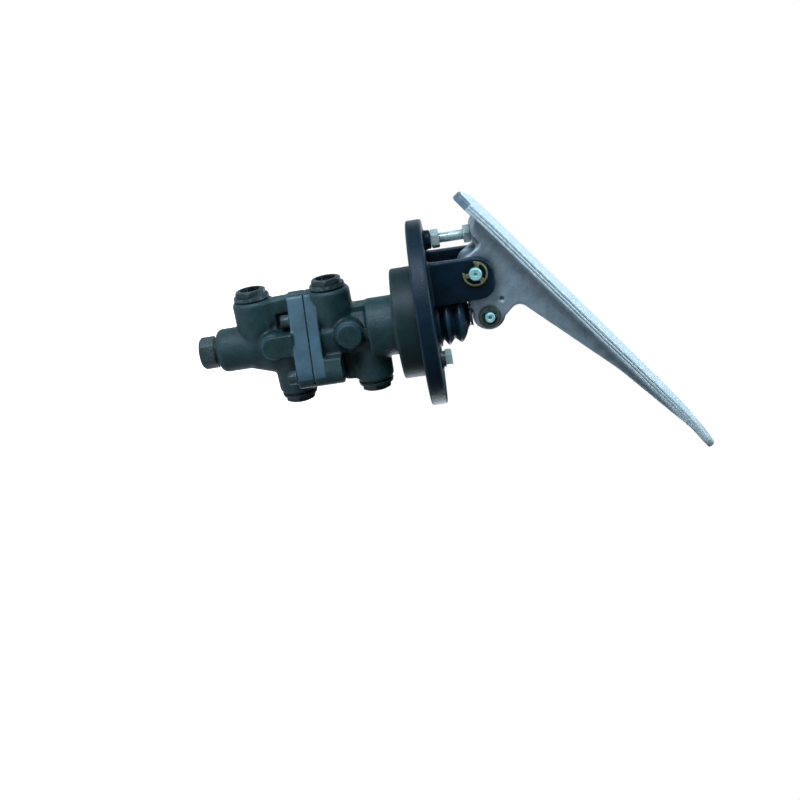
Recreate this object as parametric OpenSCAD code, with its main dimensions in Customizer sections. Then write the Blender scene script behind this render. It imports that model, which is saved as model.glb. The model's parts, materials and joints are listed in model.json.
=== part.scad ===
// Foot brake valve: a tandem spool valve that hangs under a round base plate, with a cast pedal above.
// The origin is where the valve axis meets the back face of the base plate. +Z runs along the valve
// axis towards the pedal, and +X points towards the pedal's toe. Millimetres.

/* [Base plate] */
// Diameter of the round base plate
plate_d = 148; // [140:1:164]
// Thickness of the base plate
plate_t = 12.5; // [10:0.5:15]
// Distance of the plate's centre from the valve axis, towards the heel
plate_offset = 5.6; // [3:0.1:8]
// Radius on the plate's rim
plate_edge_r = 1.2; // [0.6:0.2:3]
// Diameter of the holes that bolt the plate to the floor
floor_hole_d = 9; // [7:0.5:11]
// Distance of the floor holes' circle from the plate's rim
floor_inset = 15; // [14:0.5:17]
// Depth of the recess that centres the collar
recess_t = 1; // [0.5:0.1:2]
// Clear width between the two pivot ears
ear_gap = 36; // [34:0.5:38]
// Thickness of an ear
ear_t = 7; // [5:0.5:9]
// Height of the stop pad on the plate's front face
pad_h = 5.7; // [4:0.1:8]
// Diameter of the stop pad
pad_d = 15; // [13:0.5:17]

/* [Pedal] */
// Distance of the pedal's pivot from the valve axis, towards the heel
pivot_x = 37.6; // [36:0.1:39]
// Height of the pivot above the plate's front face
pivot_h = 35.6; // [34:0.1:38]
// Height of the roller above the plate's front face
roller_h = 42.5; // [41:0.1:45]
// Slope of the pedal plate above the base plate
pedal_angle = 37.5; // [36:0.5:39]
// Length of the pedal plate
pedal_l = 299; // [270:1:310]
// Width of the pedal plate
pedal_w = 52; // [46:1:60]
// Width of the pedal plate at the toe
toe_w = 36; // [36:1:44]
// Thickness of the pedal plate
pedal_t = 6.5; // [5:0.5:8]
// Thickness of a pedal web
web_t = 5; // [4:0.5:6]
// Height of the tread ridges
ridge_h = 1; // [0.6:0.1:1.4]
// Distance between tread ridges
ridge_pitch = 6; // [5:0.5:8]
// Distance of the stop screw from the valve axis, towards the heel
stop_x = 63.8; // [63:0.1:65]

/* [Pins and roller] */
// Diameter of the pivot pin
pivot_pin_d = 10; // [8:0.5:11]
// Diameter of the roller pin
roller_pin_d = 8; // [6:0.5:9]
// Diameter of the roller
roller_d = 26; // [24:0.5:27]
// Wall of a pivot bush
bush_wall = 1; // [0.8:0.1:1.5]
// Thickness of a retaining clip
clip_t = 1.2; // [1:0.1:1.5]

/* [Housings] */
// Diameter of the collar that bolts to the base plate
collar_d = 88.8; // [86:0.2:92]
// Height of the collar that bolts to the base plate
collar_h = 18.5; // [17:0.5:20]
// Diameter of the spring barrel
barrel_d = 48.4; // [47:0.2:50]
// Distance from the base plate to the lower end of the spring barrel
barrel_end = 41.4; // [40:0.2:43]
// Diameter of the neck below the spring barrel
neck_d = 36.8; // [35.6:0.2:38]
// Distance from the base plate to the joint between the housings
joint_depth = 88; // [87:0.5:90]
// Thickness of the upper housing's flange
upper_flange_t = 9.5; // [8.5:0.5:10.5]
// Thickness of the lower housing's flange
lower_flange_t = 13.5; // [12:0.5:15]
// Distance from the joint between the housings to the nose's end face
nose_l = 76.8; // [75:0.2:80]
// Diameter of the nose
nose_d = 35.2; // [34:0.2:37]

/* [Ports] */
// Distance from the joint up to the upper port on the heel side
heel_port_up = 19.3; // [18:0.1:20]
// Distance from the joint down to the lower port on the heel side
heel_port_down = 41.8; // [41:0.1:43]
// Distance from the collar down to the upper port on the toe side
toe_port_up = 24.6; // [24:0.1:26]
// Distance from the joint down to the lower port on the toe side
toe_port_down = 18.8; // [18:0.1:20]
// Distance from the valve axis to the port faces on the heel side
heel_face = 38.4; // [37:0.2:40]
// Distance from the valve axis to the port faces on the toe side
toe_face = 41.6; // [40:0.2:43]
// Thread diameter of the port plugs
port_thread_d = 18; // [16:0.5:19]
// Size across the flats of the port plugs
plug_af = 22.5; // [21:0.5:24]
// Height of a port plug above its seal
plug_h = 6.9; // [6.5:0.1:9]
// Thickness of a port seal
seal_t = 1.4; // [1:0.1:2]

/* [Valve internals] */
// Diameter of the spring chamber
chamber_d = 34; // [32:0.5:36]
// Diameter of the upper spool
upper_spool_d = 16; // [14:0.5:17]
// Diameter of the lower spool
lower_spool_d = 14; // [12:0.5:15]
// Diameter of the plunger's stem
stem_d = 16; // [14:0.5:17]
// Diameter of the boot's folds
boot_d = 46; // [42:1:48]
// Wall of the rubber boot
boot_wall = 1.6; // [1.2:0.1:2]

/* [Fasteners] */
// Thread diameter of the plate screws and the stop screw
screw_d = 8; // [7:0.5:9]
// Size across the flats of the plate screws, the stop screw and its nut
screw_af = 13; // [12:0.5:14]
// Distance of the plate screws from the valve axis
plate_screw_r = 37; // [36:0.5:37]
// Thread diameter of the housing screws
flange_screw_d = 6; // [5:0.5:6.5]
// Size across the flats of the housing screws
flange_screw_af = 10; // [9:0.5:11]

/* [Hidden] */
$fn = 64;

// Clearances
fit = 0.05;          // radial play of a pin, spool or thread in its bore
side_play = 0.5;     // between the pedal and an ear, and between the roller and a web
rest_gap = 0.2;      // between moving faces that meet at rest
loose = 0.3;         // radial play of soft and guided pieces

// Heights along the valve axis
pivot_z = plate_t + pivot_h;
roller_z = plate_t + roller_h;
plunger_top = roller_z - roller_d / 2 - rest_gap;
chamber_end = -barrel_end + 0.8;
flange_top = -joint_depth + upper_flange_t;
flange_bottom = -joint_depth - lower_flange_t;
nose_end = joint_depth + nose_l;

// Depths of the ports below the base plate: upper, lower
heel_port_depths = [joint_depth - heel_port_up, joint_depth + heel_port_down];
toe_port_depths = [collar_h + toe_port_up, joint_depth + toe_port_down];

// The floor holes' circle is centred on the valve axis
floor_circle_d = plate_d - 2 * floor_inset;

// Colours
cast_grey = "#3a5052";
black_paint = "#16181c";
zinc = "#b9c4c6";
yellow_zinc = "#b5a868";
aluminium = "#a9b2b8";
rubber = "#1b1f22";
steel = "#8d9296";
bronze = "#a07a48";

// Outline helpers
function unit(v) = v / norm(v);

function short_turn(a) = a > 180 ? a - 360 : a < -180 ? a + 360 : a;

// Points of the arc that rounds corner q between its neighbours p and s
function corner_arc(p, q, s, r, steps) =
    let (
        u = unit(p - q),
        v = unit(s - q),
        half = acos(u * v) / 2,
        centre = q + unit(u + v) * r / sin(half),
        a = q + u * r / tan(half) - centre,
        b = q + v * r / tan(half) - centre,
        start = atan2(a[1], a[0]),
        turn = short_turn(atan2(b[1], b[0]) - start)
    )
    [for (i = [0:steps]) centre + r * [cos(start + turn * i / steps), sin(start + turn * i / steps)]];

function flat(p) = [p[0], p[1]];

// Outline through corners [x, y, radius]
function rounded(corners, steps = 5) =
    let (n = len(corners))
    [for (i = [0:n - 1])
        let (q = corners[i])
        each q[2] == 0 ? [flat(q)]
            : corner_arc(flat(corners[(i + n - 1) % n]), flat(q), flat(corners[(i + 1) % n]), q[2], steps)];

// Mirror-image pair on the two sides of the valve
module both_sides() {
    children();
    mirror([0, 1, 0]) children();
}

// Slab with its outline in the X-Z plane, from y0 to y1
module slab_xz(y0, y1) {
    translate([0, y1, 0]) rotate([90, 0, 0]) linear_extrude(height = y1 - y0) children();
}

// Cylinder along Y, from y0 to y1, centred on x and z
module rod_y(x, z, y0, y1, d) {
    translate([x, y1, z]) rotate([90, 0, 0]) cylinder(d = d, h = y1 - y0);
}

// Hexagon prism along Z whose outer end is chamfered like a bolt head
module hex_head(af, h) {
    chamfer_r = af * 0.56;
    intersection() {
        cylinder(d = af / cos(30), h = h, $fn = 6);
        rotate_extrude() polygon([
            [0, 0], [chamfer_r, 0], [chamfer_r, h * 0.86], [af * 0.48, h], [0, h],
        ]);
    }
}

// Places children with +Z turned to a port's outward direction: side -1 is the heel, 1 is the toe
module at_port(side, depth, face) {
    translate([side * face, 0, -depth]) rotate([0, side * 90, 0]) children();
}

// Radii of the boot's folds, of its foot and of the ring round the foot
boot_crest_r = boot_d / 2;
boot_foot_r = boot_crest_r - 2.2;
boot_ring_r = boot_foot_r + 2.4;

// Base plate with its pivot ears and stop pad
ear_top_x = -pivot_x - 12.7;
ear_low_x = -sqrt(pow(boot_ring_r + 0.5, 2) - pow(ear_gap / 2, 2));
ear_nose_z = pivot_z + 14.4;
ear_outer_y = ear_gap / 2 + ear_t;
bush_hole_d = 30;
plate_screw_places = [for (a = [-45, 75, 195]) plate_screw_r * [cos(a), sin(a)]];

module ear() {
    slab_xz(ear_gap / 2, ear_outer_y)
        polygon(rounded([
            [ear_top_x, plate_t - 1, 0],
            [ear_low_x, plate_t - 1, 0],
            [ear_low_x - 1.5, ear_nose_z, 12],
            [ear_top_x + 1, ear_nose_z, 14],
        ], 8));
}

module base_plate() {
    color(black_paint) difference() {
        union() {
            translate([-plate_offset, 0, 0]) rotate_extrude($fn = 128)
                polygon(rounded([
                    [0, 0, 0],
                    [plate_d / 2, 0, plate_edge_r],
                    [plate_d / 2, plate_t, plate_edge_r],
                    [0, plate_t, 0],
                ], 4));
            both_sides() ear();
            translate([-stop_x, 0, plate_t - 1])
                cylinder(d = pad_d, h = pad_h + 1);
        }
        translate([0, 0, -1]) cylinder(d = bush_hole_d, h = plate_t + 2);
        translate([0, 0, -1]) cylinder(d = collar_d + 2 * fit, h = 1 + recess_t);
        for (p = plate_screw_places)
            translate([p[0], p[1], -1]) cylinder(d = screw_d + 1, h = plate_t + 2);
        for (a = [45:90:315])
            translate([floor_circle_d / 2 * cos(a), floor_circle_d / 2 * sin(a), -1])
                cylinder(d = floor_hole_d, h = plate_t + 2);
        rod_y(-pivot_x, pivot_z, -ear_outer_y - 1, ear_outer_y + 1, pivot_pin_d + 2 * fit);
    }
}

// Bush in the base plate that guides the plunger
bush_flange_d = 36;
bush_flange_t = 2;
bush_tail = 6;

module guide_bush() {
    color(bronze) difference() {
        union() {
            translate([0, 0, -bush_tail])
                cylinder(d = bush_hole_d - 2 * fit, h = plate_t + bush_tail);
            translate([0, 0, plate_t]) cylinder(d = bush_flange_d, h = bush_flange_t);
        }
        translate([0, 0, -bush_tail - 1])
            cylinder(d = stem_d + 2 * fit, h = plate_t + bush_tail + bush_flange_t + 2);
        translate([0, 0, wiper_z]) cylinder(d = wiper_d, h = wiper_t + 5);
    }
}

// Lip seal that wipes the plunger
wiper_d = stem_d + 8;
wiper_t = 4;
wiper_z = plate_t + bush_flange_t - wiper_t;

module wiper_seal() {
    color(rubber) translate([0, 0, wiper_z]) rotate_extrude() polygon([
        [stem_d / 2 + fit, 0.5], [stem_d / 2 + 1.4, 0], [wiper_d / 2 - fit, 0],
        [wiper_d / 2 - fit, wiper_t - 0.5], [stem_d / 2 + 2, wiper_t - 0.5], [stem_d / 2 + fit, wiper_t - 1],
    ]);
}

// Folded rubber boot from the base plate up to the plunger's head
boot_base_z = plate_t + 0.1;
boot_top_z = plunger_top - 2.2;
boot_neck_r = stem_d / 2 + loose + boot_wall;
boot_valley_r = boot_crest_r - 5;
boot_h = boot_top_z - boot_base_z;

// Outer corners of the boot's profile, from its foot up
boot_outline = [
    [boot_foot_r, boot_base_z],
    [boot_foot_r, boot_base_z + 3.4],
    [boot_valley_r + 0.6, boot_base_z + 4.2],
    [boot_crest_r - 1, boot_base_z + boot_h * 0.24],
    [boot_crest_r, boot_base_z + boot_h * 0.29],
    [boot_crest_r - 1, boot_base_z + boot_h * 0.34],
    [boot_valley_r + 0.8, boot_base_z + boot_h * 0.48],
    [boot_valley_r + 0.8, boot_base_z + boot_h * 0.53],
    [boot_crest_r - 1.6, boot_base_z + boot_h * 0.64],
    [boot_crest_r - 0.9, boot_base_z + boot_h * 0.68],
    [boot_crest_r - 2, boot_base_z + boot_h * 0.73],
    [boot_neck_r + 6, boot_base_z + boot_h * 0.86],
    [boot_neck_r + 1.2, boot_base_z + boot_h * 0.93],
    [boot_neck_r, boot_top_z],
];

module boot() {
    color(rubber) rotate_extrude()
        polygon(concat(
            boot_outline,
            [for (i = [len(boot_outline) - 1:-1:0])
                [boot_outline[i][0] - boot_wall, boot_outline[i][1]
                    - (i > 1 && i < len(boot_outline) - 1 ? boot_wall * 0.35 : 0)]]
        ));
}

// Ring that holds the boot's foot on the base plate
module boot_ring() {
    grip_r = boot_foot_r + 0.1;
    color(black_paint) translate([0, 0, plate_t]) rotate_extrude() polygon([
        [grip_r, 0], [boot_ring_r, 0], [boot_ring_r, 2.2], [boot_ring_r - 0.8, 3], [grip_r, 3],
    ]);
}

// Screws that hold the valve to the base plate
washer_t = 1.6;
spring_washer_t = 2;
plate_screw_reach = 15;
plate_screw_head_t = 5.3;
plate_screw_turn = 12;

module plate_screws() {
    seat = washer_t + spring_washer_t;
    color(zinc) for (p = plate_screw_places)
        translate([p[0], p[1], plate_t + seat]) {
            rotate([0, 0, plate_screw_turn]) hex_head(screw_af, plate_screw_head_t);
            translate([0, 0, -plate_t - seat - plate_screw_reach])
                cylinder(d = screw_d, h = plate_t + seat + plate_screw_reach + 1);
        }
}

module plate_washers() {
    color(zinc) for (p = plate_screw_places)
        translate([p[0], p[1], plate_t]) difference() {
            cylinder(d = screw_af * 1.3, h = washer_t);
            translate([0, 0, -1]) cylinder(d = screw_d + 2 * fit, h = washer_t + 2);
        }
}

// Split washers under the plate screws' heads
module plate_spring_washers() {
    color(zinc) for (p = plate_screw_places)
        translate([p[0], p[1], plate_t + washer_t]) difference() {
            cylinder(d = screw_af * 0.98, h = spring_washer_t);
            translate([0, 0, -1]) cylinder(d = screw_d + 2 * fit, h = spring_washer_t + 2);
            rotate([0, 0, 60]) translate([0, -0.5, -1]) cube([screw_af, 1, spring_washer_t + 2]);
        }
}

// Housing flanges: narrow at the heel side and wide at the toe side
flange_heel_x = -38.4;
flange_toe_x = 33;
flange_heel_y = 9;
flange_toe_y = 40;
flange_screw_places = [[-19, 11], [-19, -11], [22, 30], [22, -30]];

module flange_outline() {
    polygon(rounded([
        [flange_heel_x, -flange_heel_y, 4],
        [flange_toe_x, -flange_toe_y, 9],
        [flange_toe_x, flange_toe_y, 9],
        [flange_heel_x, flange_heel_y, 4],
    ]));
}

// Cast boss for a port, with a chamfered face and a slight draft
boss_r = 16.2;
boss_chamfer = 1.6;

module port_boss(side, depth, face, r) {
    at_port(side, depth, 0) cylinder(r1 = r + 0.6, r2 = r, h = face - boss_chamfer - 0.8);
    at_port(side, depth, face - boss_chamfer - 0.8)
        cylinder(r1 = r, r2 = r - boss_chamfer, h = boss_chamfer + 0.8);
}

// Bore of a port: tapped outside, then a drilling to the spool
module port_bore(side, depth, face) {
    at_port(side, depth, face - 15) cylinder(d = port_thread_d + 2 * fit, h = 16);
    at_port(side, depth, 0) cylinder(d = 9, h = face - 14);
}

// Round boss that faces the -Y side
module side_boss(x, depth, r, face_y) {
    rod_y(x, -depth, -face_y, 0, 2 * r);
    rod_y(x, -depth, -face_y + 3, 0, 2 * r + 4);
}

side_boss_x = -3;
side_boss_face = 26;
upper_side_boss_depth = joint_depth - 32.2;
upper_side_boss_r = 10;
lower_side_boss_depth = joint_depth + 29;
lower_side_boss_r = 8.8;

// Height of the thicker part of the upper flange at the toe side, and where it starts
toe_block_t = 13.5;
toe_block_x = 11;

// Pad between the upper heel port and the barrel, and wall between the upper toe port and the flange
pad_top_x = -barrel_d / 2 + 1.8;
pad_half = 8;
toe_wall_half = 9;
toe_wall_z = -toe_port_depths[0] - 13.9;
toe_wall_foot_z = flange_top + 0.56 * (toe_wall_z - flange_top);

// Flat band between a side boss and the flange
band_face = 20;

module upper_housing() {
    color(cast_grey) difference() {
        union() {
            rotate_extrude($fn = 96) polygon(rounded([
                [0, recess_t, 0],
                [collar_d / 2, recess_t, 0],
                [collar_d / 2, -collar_h, 1.5],
                [barrel_d / 2, -collar_h, 2],
                [barrel_d / 2, -barrel_end, 1.5],
                [neck_d / 2, -barrel_end, 0],
                [neck_d / 2, flange_top - 1, 0],
                [0, flange_top - 1, 0],
            ], 4));
            translate([0, 0, -joint_depth]) linear_extrude(height = upper_flange_t) flange_outline();
            translate([0, 0, flange_top - 1]) linear_extrude(height = toe_block_t + 1) intersection() {
                flange_outline();
                translate([toe_block_x, -60]) square([60, 120]);
            }
            slab_xz(-toe_wall_half, toe_wall_half) polygon([
                [0, flange_top + 1], [toe_face - 4.6, toe_wall_foot_z], [toe_face - 3.6, toe_wall_z],
                [toe_face - 11.6, toe_wall_z + 7], [0, toe_wall_z + 11],
            ]);
            translate([pad_top_x, -pad_half, -heel_port_depths[0]])
                cube([-pad_top_x, 2 * pad_half, heel_port_depths[0] - barrel_end + 1]);
            port_boss(-1, heel_port_depths[0], heel_face, boss_r + 1);
            port_boss(1, toe_port_depths[0], toe_face, boss_r - 0.8);
            side_boss(side_boss_x, upper_side_boss_depth, upper_side_boss_r, side_boss_face);
            translate([side_boss_x - 5, -band_face, flange_top - 1])
                cube([toe_block_x - side_boss_x + 6, band_face,
                    -upper_side_boss_depth - flange_top + 1]);
        }
        translate([0, 0, chamber_end]) cylinder(d = chamber_d, h = 60);
        translate([0, 0, -joint_depth - 1])
            cylinder(d = upper_spool_d + 2 * fit, h = joint_depth);
        port_bore(-1, heel_port_depths[0], heel_face);
        port_bore(1, toe_port_depths[0], toe_face);
        for (p = plate_screw_places)
            translate([p[0], p[1], -plate_screw_reach - 1])
                cylinder(d = screw_d + 2 * fit, h = plate_screw_reach + recess_t + 2);
        for (p = flange_screw_places)
            translate([p[0], p[1], -joint_depth - 1])
                cylinder(d = flange_screw_d + 2 * fit, h = 10);
        translate([0, 0, -joint_depth - 1]) cylinder(d = seal_groove_d, h = 1 + seal_groove_depth);
    }
}

// Height at which the nose starts to flare under the flange
flare_z = flange_bottom - 20.5;

// Wall between the lower heel port and the flange, and the pockets for the two screws below it
heel_wall_half = 8;
pocket_top_x = -25.1;
pocket_low_x = -12.9;
pocket_back_y = 4.9;
pocket_h = 11;

module lower_housing() {
    color(cast_grey) difference() {
        union() {
            rotate_extrude($fn = 96) polygon(rounded([
                [0, -nose_end, 0],
                [nose_d / 2, -nose_end, 5],
                [nose_d / 2, flange_bottom + 1, 0],
                [0, flange_bottom + 1, 0],
            ], 6));
            translate([6, 0, flare_z - 19]) cylinder(r1 = 12, r2 = 18, h = 19);
            translate([6, 0, flare_z - 0.1]) cylinder(r = 18, h = flange_bottom - flare_z + 1.1);
            translate([0, 0, flange_bottom]) linear_extrude(height = lower_flange_t) flange_outline();
            port_boss(-1, heel_port_depths[1], heel_face, boss_r);
            port_boss(1, toe_port_depths[1], toe_face, boss_r - 0.6);
            slab_xz(-heel_wall_half, heel_wall_half) polygon([
                [-10, 4.8 - heel_port_depths[1]], [-heel_face + 2, 11.8 - heel_port_depths[1]],
                [-heel_face + 1.6, flange_bottom + 1], [-10, flange_bottom + 1],
            ]);
            side_boss(side_boss_x, lower_side_boss_depth, lower_side_boss_r, side_boss_face);
            translate([side_boss_x - lower_side_boss_r, -side_boss_face, -lower_side_boss_depth])
                cube([2 * lower_side_boss_r, side_boss_face, lower_side_boss_depth + flange_bottom + 1]);
        }
        both_sides() translate([pocket_top_x, pocket_back_y, flange_bottom - pocket_h])
            cube([pocket_low_x - pocket_top_x, boss_r, pocket_h]);
        translate([0, 0, -nose_end - 1])
            cylinder(d = lower_spool_d + 2 * fit, h = nose_end);
        translate([0, 0, -nose_end - 1]) cylinder(d = end_thread_d + 2 * fit, h = 1 + end_thread_l);
        port_bore(-1, heel_port_depths[1], heel_face);
        port_bore(1, toe_port_depths[1], toe_face);
        for (p = flange_screw_places)
            translate([p[0], p[1], flange_bottom - 1])
                cylinder(d = flange_screw_d + 0.6, h = lower_flange_t + 2);
    }
}

// Ring seal in the joint between the housings
seal_groove_d = 30;
seal_groove_depth = 1.8;

module housing_seal() {
    color(rubber) translate([0, 0, -joint_depth]) difference() {
        cylinder(d = seal_groove_d - 2 * fit, h = seal_groove_depth);
        translate([0, 0, -1]) cylinder(d = seal_groove_d - 5, h = seal_groove_depth + 2);
    }
}

flange_washer_t = 1.2;
flange_screw_l = 22;

module housing_screws() {
    color(steel) for (p = flange_screw_places)
        translate([p[0], p[1], flange_bottom - flange_washer_t]) {
            mirror([0, 0, 1]) hex_head(flange_screw_af, 6);
            translate([0, 0, -1]) cylinder(d = flange_screw_d, h = flange_screw_l + 1);
        }
}

module housing_washers() {
    color(steel) for (p = flange_screw_places)
        translate([p[0], p[1], flange_bottom - flange_washer_t]) difference() {
            cylinder(d = flange_screw_af * 1.15, h = flange_washer_t);
            translate([0, 0, -1]) cylinder(d = flange_screw_d + 2 * fit, h = flange_washer_t + 2);
        }
}

// Hexagon plug with a hollow head, a round flange and a threaded shank
plug_flange_r = 14.4;
plug_flange_t = 2.4;
plug_shank = 12;

module port_plug(side, depth, face) {
    color(cast_grey) at_port(side, depth, face + seal_t) difference() {
        union() {
            translate([0, 0, -seal_t - plug_shank])
                cylinder(d = port_thread_d, h = plug_shank + seal_t + 1);
            cylinder(r1 = plug_flange_r, r2 = plug_flange_r - 0.6, h = plug_flange_t);
            rotate([0, 0, 30]) hex_head(plug_af, plug_h);
        }
        translate([0, 0, plug_h - 5]) cylinder(d = plug_af * 0.72, h = 6);
        translate([0, 0, -seal_t - plug_shank - 1]) cylinder(d = port_thread_d - 5, h = plug_shank);
    }
}

module heel_plug_upper() {
    port_plug(-1, heel_port_depths[0], heel_face);
}

module heel_plug_lower() {
    port_plug(-1, heel_port_depths[1], heel_face);
}

module toe_plug_upper() {
    port_plug(1, toe_port_depths[0], toe_face);
}

module toe_plug_lower() {
    port_plug(1, toe_port_depths[1], toe_face);
}

module port_seal() {
    difference() {
        cylinder(r = plug_flange_r - 1, h = seal_t);
        translate([0, 0, -1]) cylinder(d = port_thread_d + 0.4, h = seal_t + 2);
    }
}

module port_seals() {
    color(rubber) {
        for (d = heel_port_depths) at_port(-1, d, heel_face) port_seal();
        for (d = toe_port_depths) at_port(1, d, toe_face) port_seal();
    }
}

// Hollow hexagon plug that closes the nose and carries the return spring
end_af = 23.4;
end_thread_d = 20;
end_thread_l = 15;
end_seal_t = 2.4;
end_hex_h = 12.2;
end_turn = -11;
spring_pocket_d = 11;
spring_floor_z = -nose_end - 1.5;

module end_plug() {
    color(cast_grey) difference() {
        translate([0, 0, -nose_end - end_seal_t]) union() {
            mirror([0, 0, 1]) rotate([0, 0, end_turn]) hex_head(end_af, end_hex_h);
            translate([0, 0, -1]) cylinder(d = end_thread_d, h = end_thread_l + end_seal_t);
        }
        translate([0, 0, spring_floor_z]) cylinder(d = spring_pocket_d, h = 60);
    }
}

module end_plug_seal() {
    color(rubber) translate([0, 0, -nose_end - end_seal_t]) difference() {
        cylinder(d = end_af - 0.6, h = end_seal_t);
        translate([0, 0, -1]) cylinder(d = end_thread_d + 2 * fit, h = end_seal_t + 2);
    }
}

// Pedal: the plate is drawn in its own frame, s along the plate and n up from its underside
heel_point = [-95, 41.3];
web_outer_y = ear_gap / 2 - side_play;
web_inner_y = web_outer_y - web_t;
tread_step = 1.6;
lip_t = 3;
ridge_start = 120;
stop_wall_z = 49.3;
pivot_boss_d = 25;
roller_lobe_d = 22;

// Small dimple in the near web's face
dimple = [-12.5, 66.1];
dimple_d = 2.6;
dimple_t = 0.6;

// Point of the pedal plate's frame in the X-Z plane
function plate_point(s, n) = [
    heel_point[0] + s * cos(pedal_angle) - n * sin(pedal_angle),
    heel_point[1] + s * sin(pedal_angle) + n * cos(pedal_angle),
];

module on_plate() {
    translate([heel_point[0], 0, heel_point[1]]) rotate([0, -pedal_angle, 0]) children();
}

// Plan of the plate, drawn in from its edge by inset. Its far heel corner is cut off longer.
heel_cut = 10;
far_cut = 12;
far_cut_y = -3;

function plate_plan(inset) =
    let (
        w = pedal_w / 2 - inset,
        t = toe_w / 2 - inset,
        l = pedal_l - inset,
        cut = heel_cut - inset * 0.6
    )
    rounded([
        [inset, -w + cut, 1.5], [inset + cut, -w, 1.5], [pedal_l * 0.56, -w, 60], [l, -t, t * 0.8],
        [l, t, t * 0.8], [pedal_l * 0.56, w, 60], [inset * 1.2 + far_cut, w, 3], [inset, far_cut_y, 3],
    ], 5);

// The plate bends down a little towards its heel and its toe
heel_bend_l = 40;
toe_bend_l = 60;
heel_drop = 1.7;
toe_drop = 3.2;

function plate_drop(s) =
    heel_drop * pow(max(0, 1 - s / heel_bend_l), 2)
        + toe_drop * pow(max(0, 1 - (pedal_l - s) / toe_bend_l), 2);

bend_stations = concat(
    [for (i = [0:4]) heel_bend_l * i / 4],
    [for (i = [6:-1:0]) pedal_l - toe_bend_l * i / 6]
);

// Layer of the bent plate between heights low and high, drawn in from its edge by inset
module plate_layer(low, high, inset) {
    last = len(bend_stations) - 1;
    intersection() {
        translate([0, 0, -2 * toe_drop]) linear_extrude(height = 4 * toe_drop + pedal_t)
            polygon(plate_plan(inset));
        slab_xz(-pedal_w, pedal_w) polygon(concat(
            [for (s = bend_stations) [s, low - plate_drop(s)]],
            [for (i = [last:-1:0]) [bend_stations[i], high - plate_drop(bend_stations[i])]]
        ));
    }
}

module pedal_plate() {
    on_plate() {
        plate_layer(0, lip_t, 0);
        plate_layer(lip_t - 0.1, pedal_t, tread_step);
        intersection() {
            translate([0, 0, -2 * toe_drop]) linear_extrude(height = 4 * toe_drop + pedal_t)
                polygon(plate_plan(tread_step + 1.2));
            union() for (s = [ridge_start:ridge_pitch:pedal_l - ridge_pitch])
                translate([s, -pedal_w, pedal_t - 1 - plate_drop(s)])
                    cube([ridge_pitch / 2, 2 * pedal_w, 1 + ridge_h]);
        }
    }
}

module web_outline() {
    union() {
        polygon(rounded([
            concat(plate_point(20, 1), 0),
            [-stop_x - 3.7, stop_wall_z - 1.7, 6],
            [-stop_x + 6.3, stop_wall_z + 6.2, 3],
            [-pivot_x - 9.5, pivot_z - 7.8, 0],
            [-pivot_x + 3, pivot_z - 12.2, 0],
            [-3, roller_z - 11.6, 0],
            [9, roller_z + 4.5, 0],
            concat(plate_point(91.3, -23.2), 7),
            concat(plate_point(190.2, -7.3), 150),
            concat(plate_point(pedal_l - 10, 0), 0),
            concat(plate_point(pedal_l - 12, 2), 0),
        ]));
        translate([-pivot_x, pivot_z]) circle(d = pivot_boss_d);
        translate([0, roller_z - 1]) circle(d = roller_lobe_d);
    }
}

module pedal() {
    color(aluminium) difference() {
        union() {
            pedal_plate();
            both_sides() slab_xz(web_inner_y, web_outer_y) web_outline();
            slab_xz(-web_inner_y - 1, web_inner_y + 1) polygon([
                [-stop_x - 8, stop_wall_z + 3], [-stop_x - 6, stop_wall_z], [-stop_x + 6, stop_wall_z],
                [-stop_x + 8, stop_wall_z + 3], plate_point(45, 1), plate_point(22, 1),
            ]);
            rod_y(-pivot_x, pivot_z, -web_outer_y, web_outer_y, pivot_boss_d - 5);
        }
        rod_y(-pivot_x, pivot_z, -60, 60, pivot_pin_d + 2 * bush_wall + 2 * fit);
        rod_y(0, roller_z, -60, 60, roller_pin_d + 2 * fit);
        rod_y(dimple[0], dimple[1], -web_outer_y - 1, -web_outer_y + dimple_t, dimple_d);
        translate([-stop_x, 0, stop_wall_z - 1]) cylinder(d = screw_d + 2 * fit, h = stop_thread + 2);
    }
}

// Pin that the pedal turns on, with a groove for a clip at each end
pin_overhang = 4;
clip_gap = 0.3;
stop_thread = 11;

module grooved_pin(x, z, d, seat_y) {
    half = seat_y + pin_overhang;
    translate([x, half, z]) rotate([90, 0, 0]) rotate_extrude() polygon([
        [0, 0], [d / 2 - 0.8, 0], [d / 2, 0.8],
        [d / 2, pin_overhang - clip_gap - clip_t - 0.1], [d * 0.4, pin_overhang - clip_gap - clip_t - 0.1],
        [d * 0.4, pin_overhang - clip_gap + 0.1], [d / 2, pin_overhang - clip_gap + 0.1],
        [d / 2, 2 * half - pin_overhang + clip_gap - 0.1], [d * 0.4, 2 * half - pin_overhang + clip_gap - 0.1],
        [d * 0.4, 2 * half - pin_overhang + clip_gap + clip_t + 0.1],
        [d / 2, 2 * half - pin_overhang + clip_gap + clip_t + 0.1],
        [d / 2, 2 * half - 0.8], [d / 2 - 0.8, 2 * half], [0, 2 * half],
    ]);
}

// Retaining clip that opens at angle a, with three prongs in the pin's groove
module retaining_clip(d, a) {
    ring_r = d * 0.96;
    band = d * 0.2;
    linear_extrude(height = clip_t) rotate(a) difference() {
        union() {
            difference() {
                circle(r = ring_r);
                circle(r = ring_r - band);
            }
            for (b = [180, 58, -58]) rotate(b) translate([d * 0.4, -d * 0.16])
                square([ring_r - band / 2 - d * 0.4, d * 0.32]);
        }
        polygon([[0, 0], [2 * d, 2 * d * tan(38)], [2 * d, -2 * d * tan(38)]]);
        circle(r = d * 0.4 + fit);
    }
}

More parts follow.
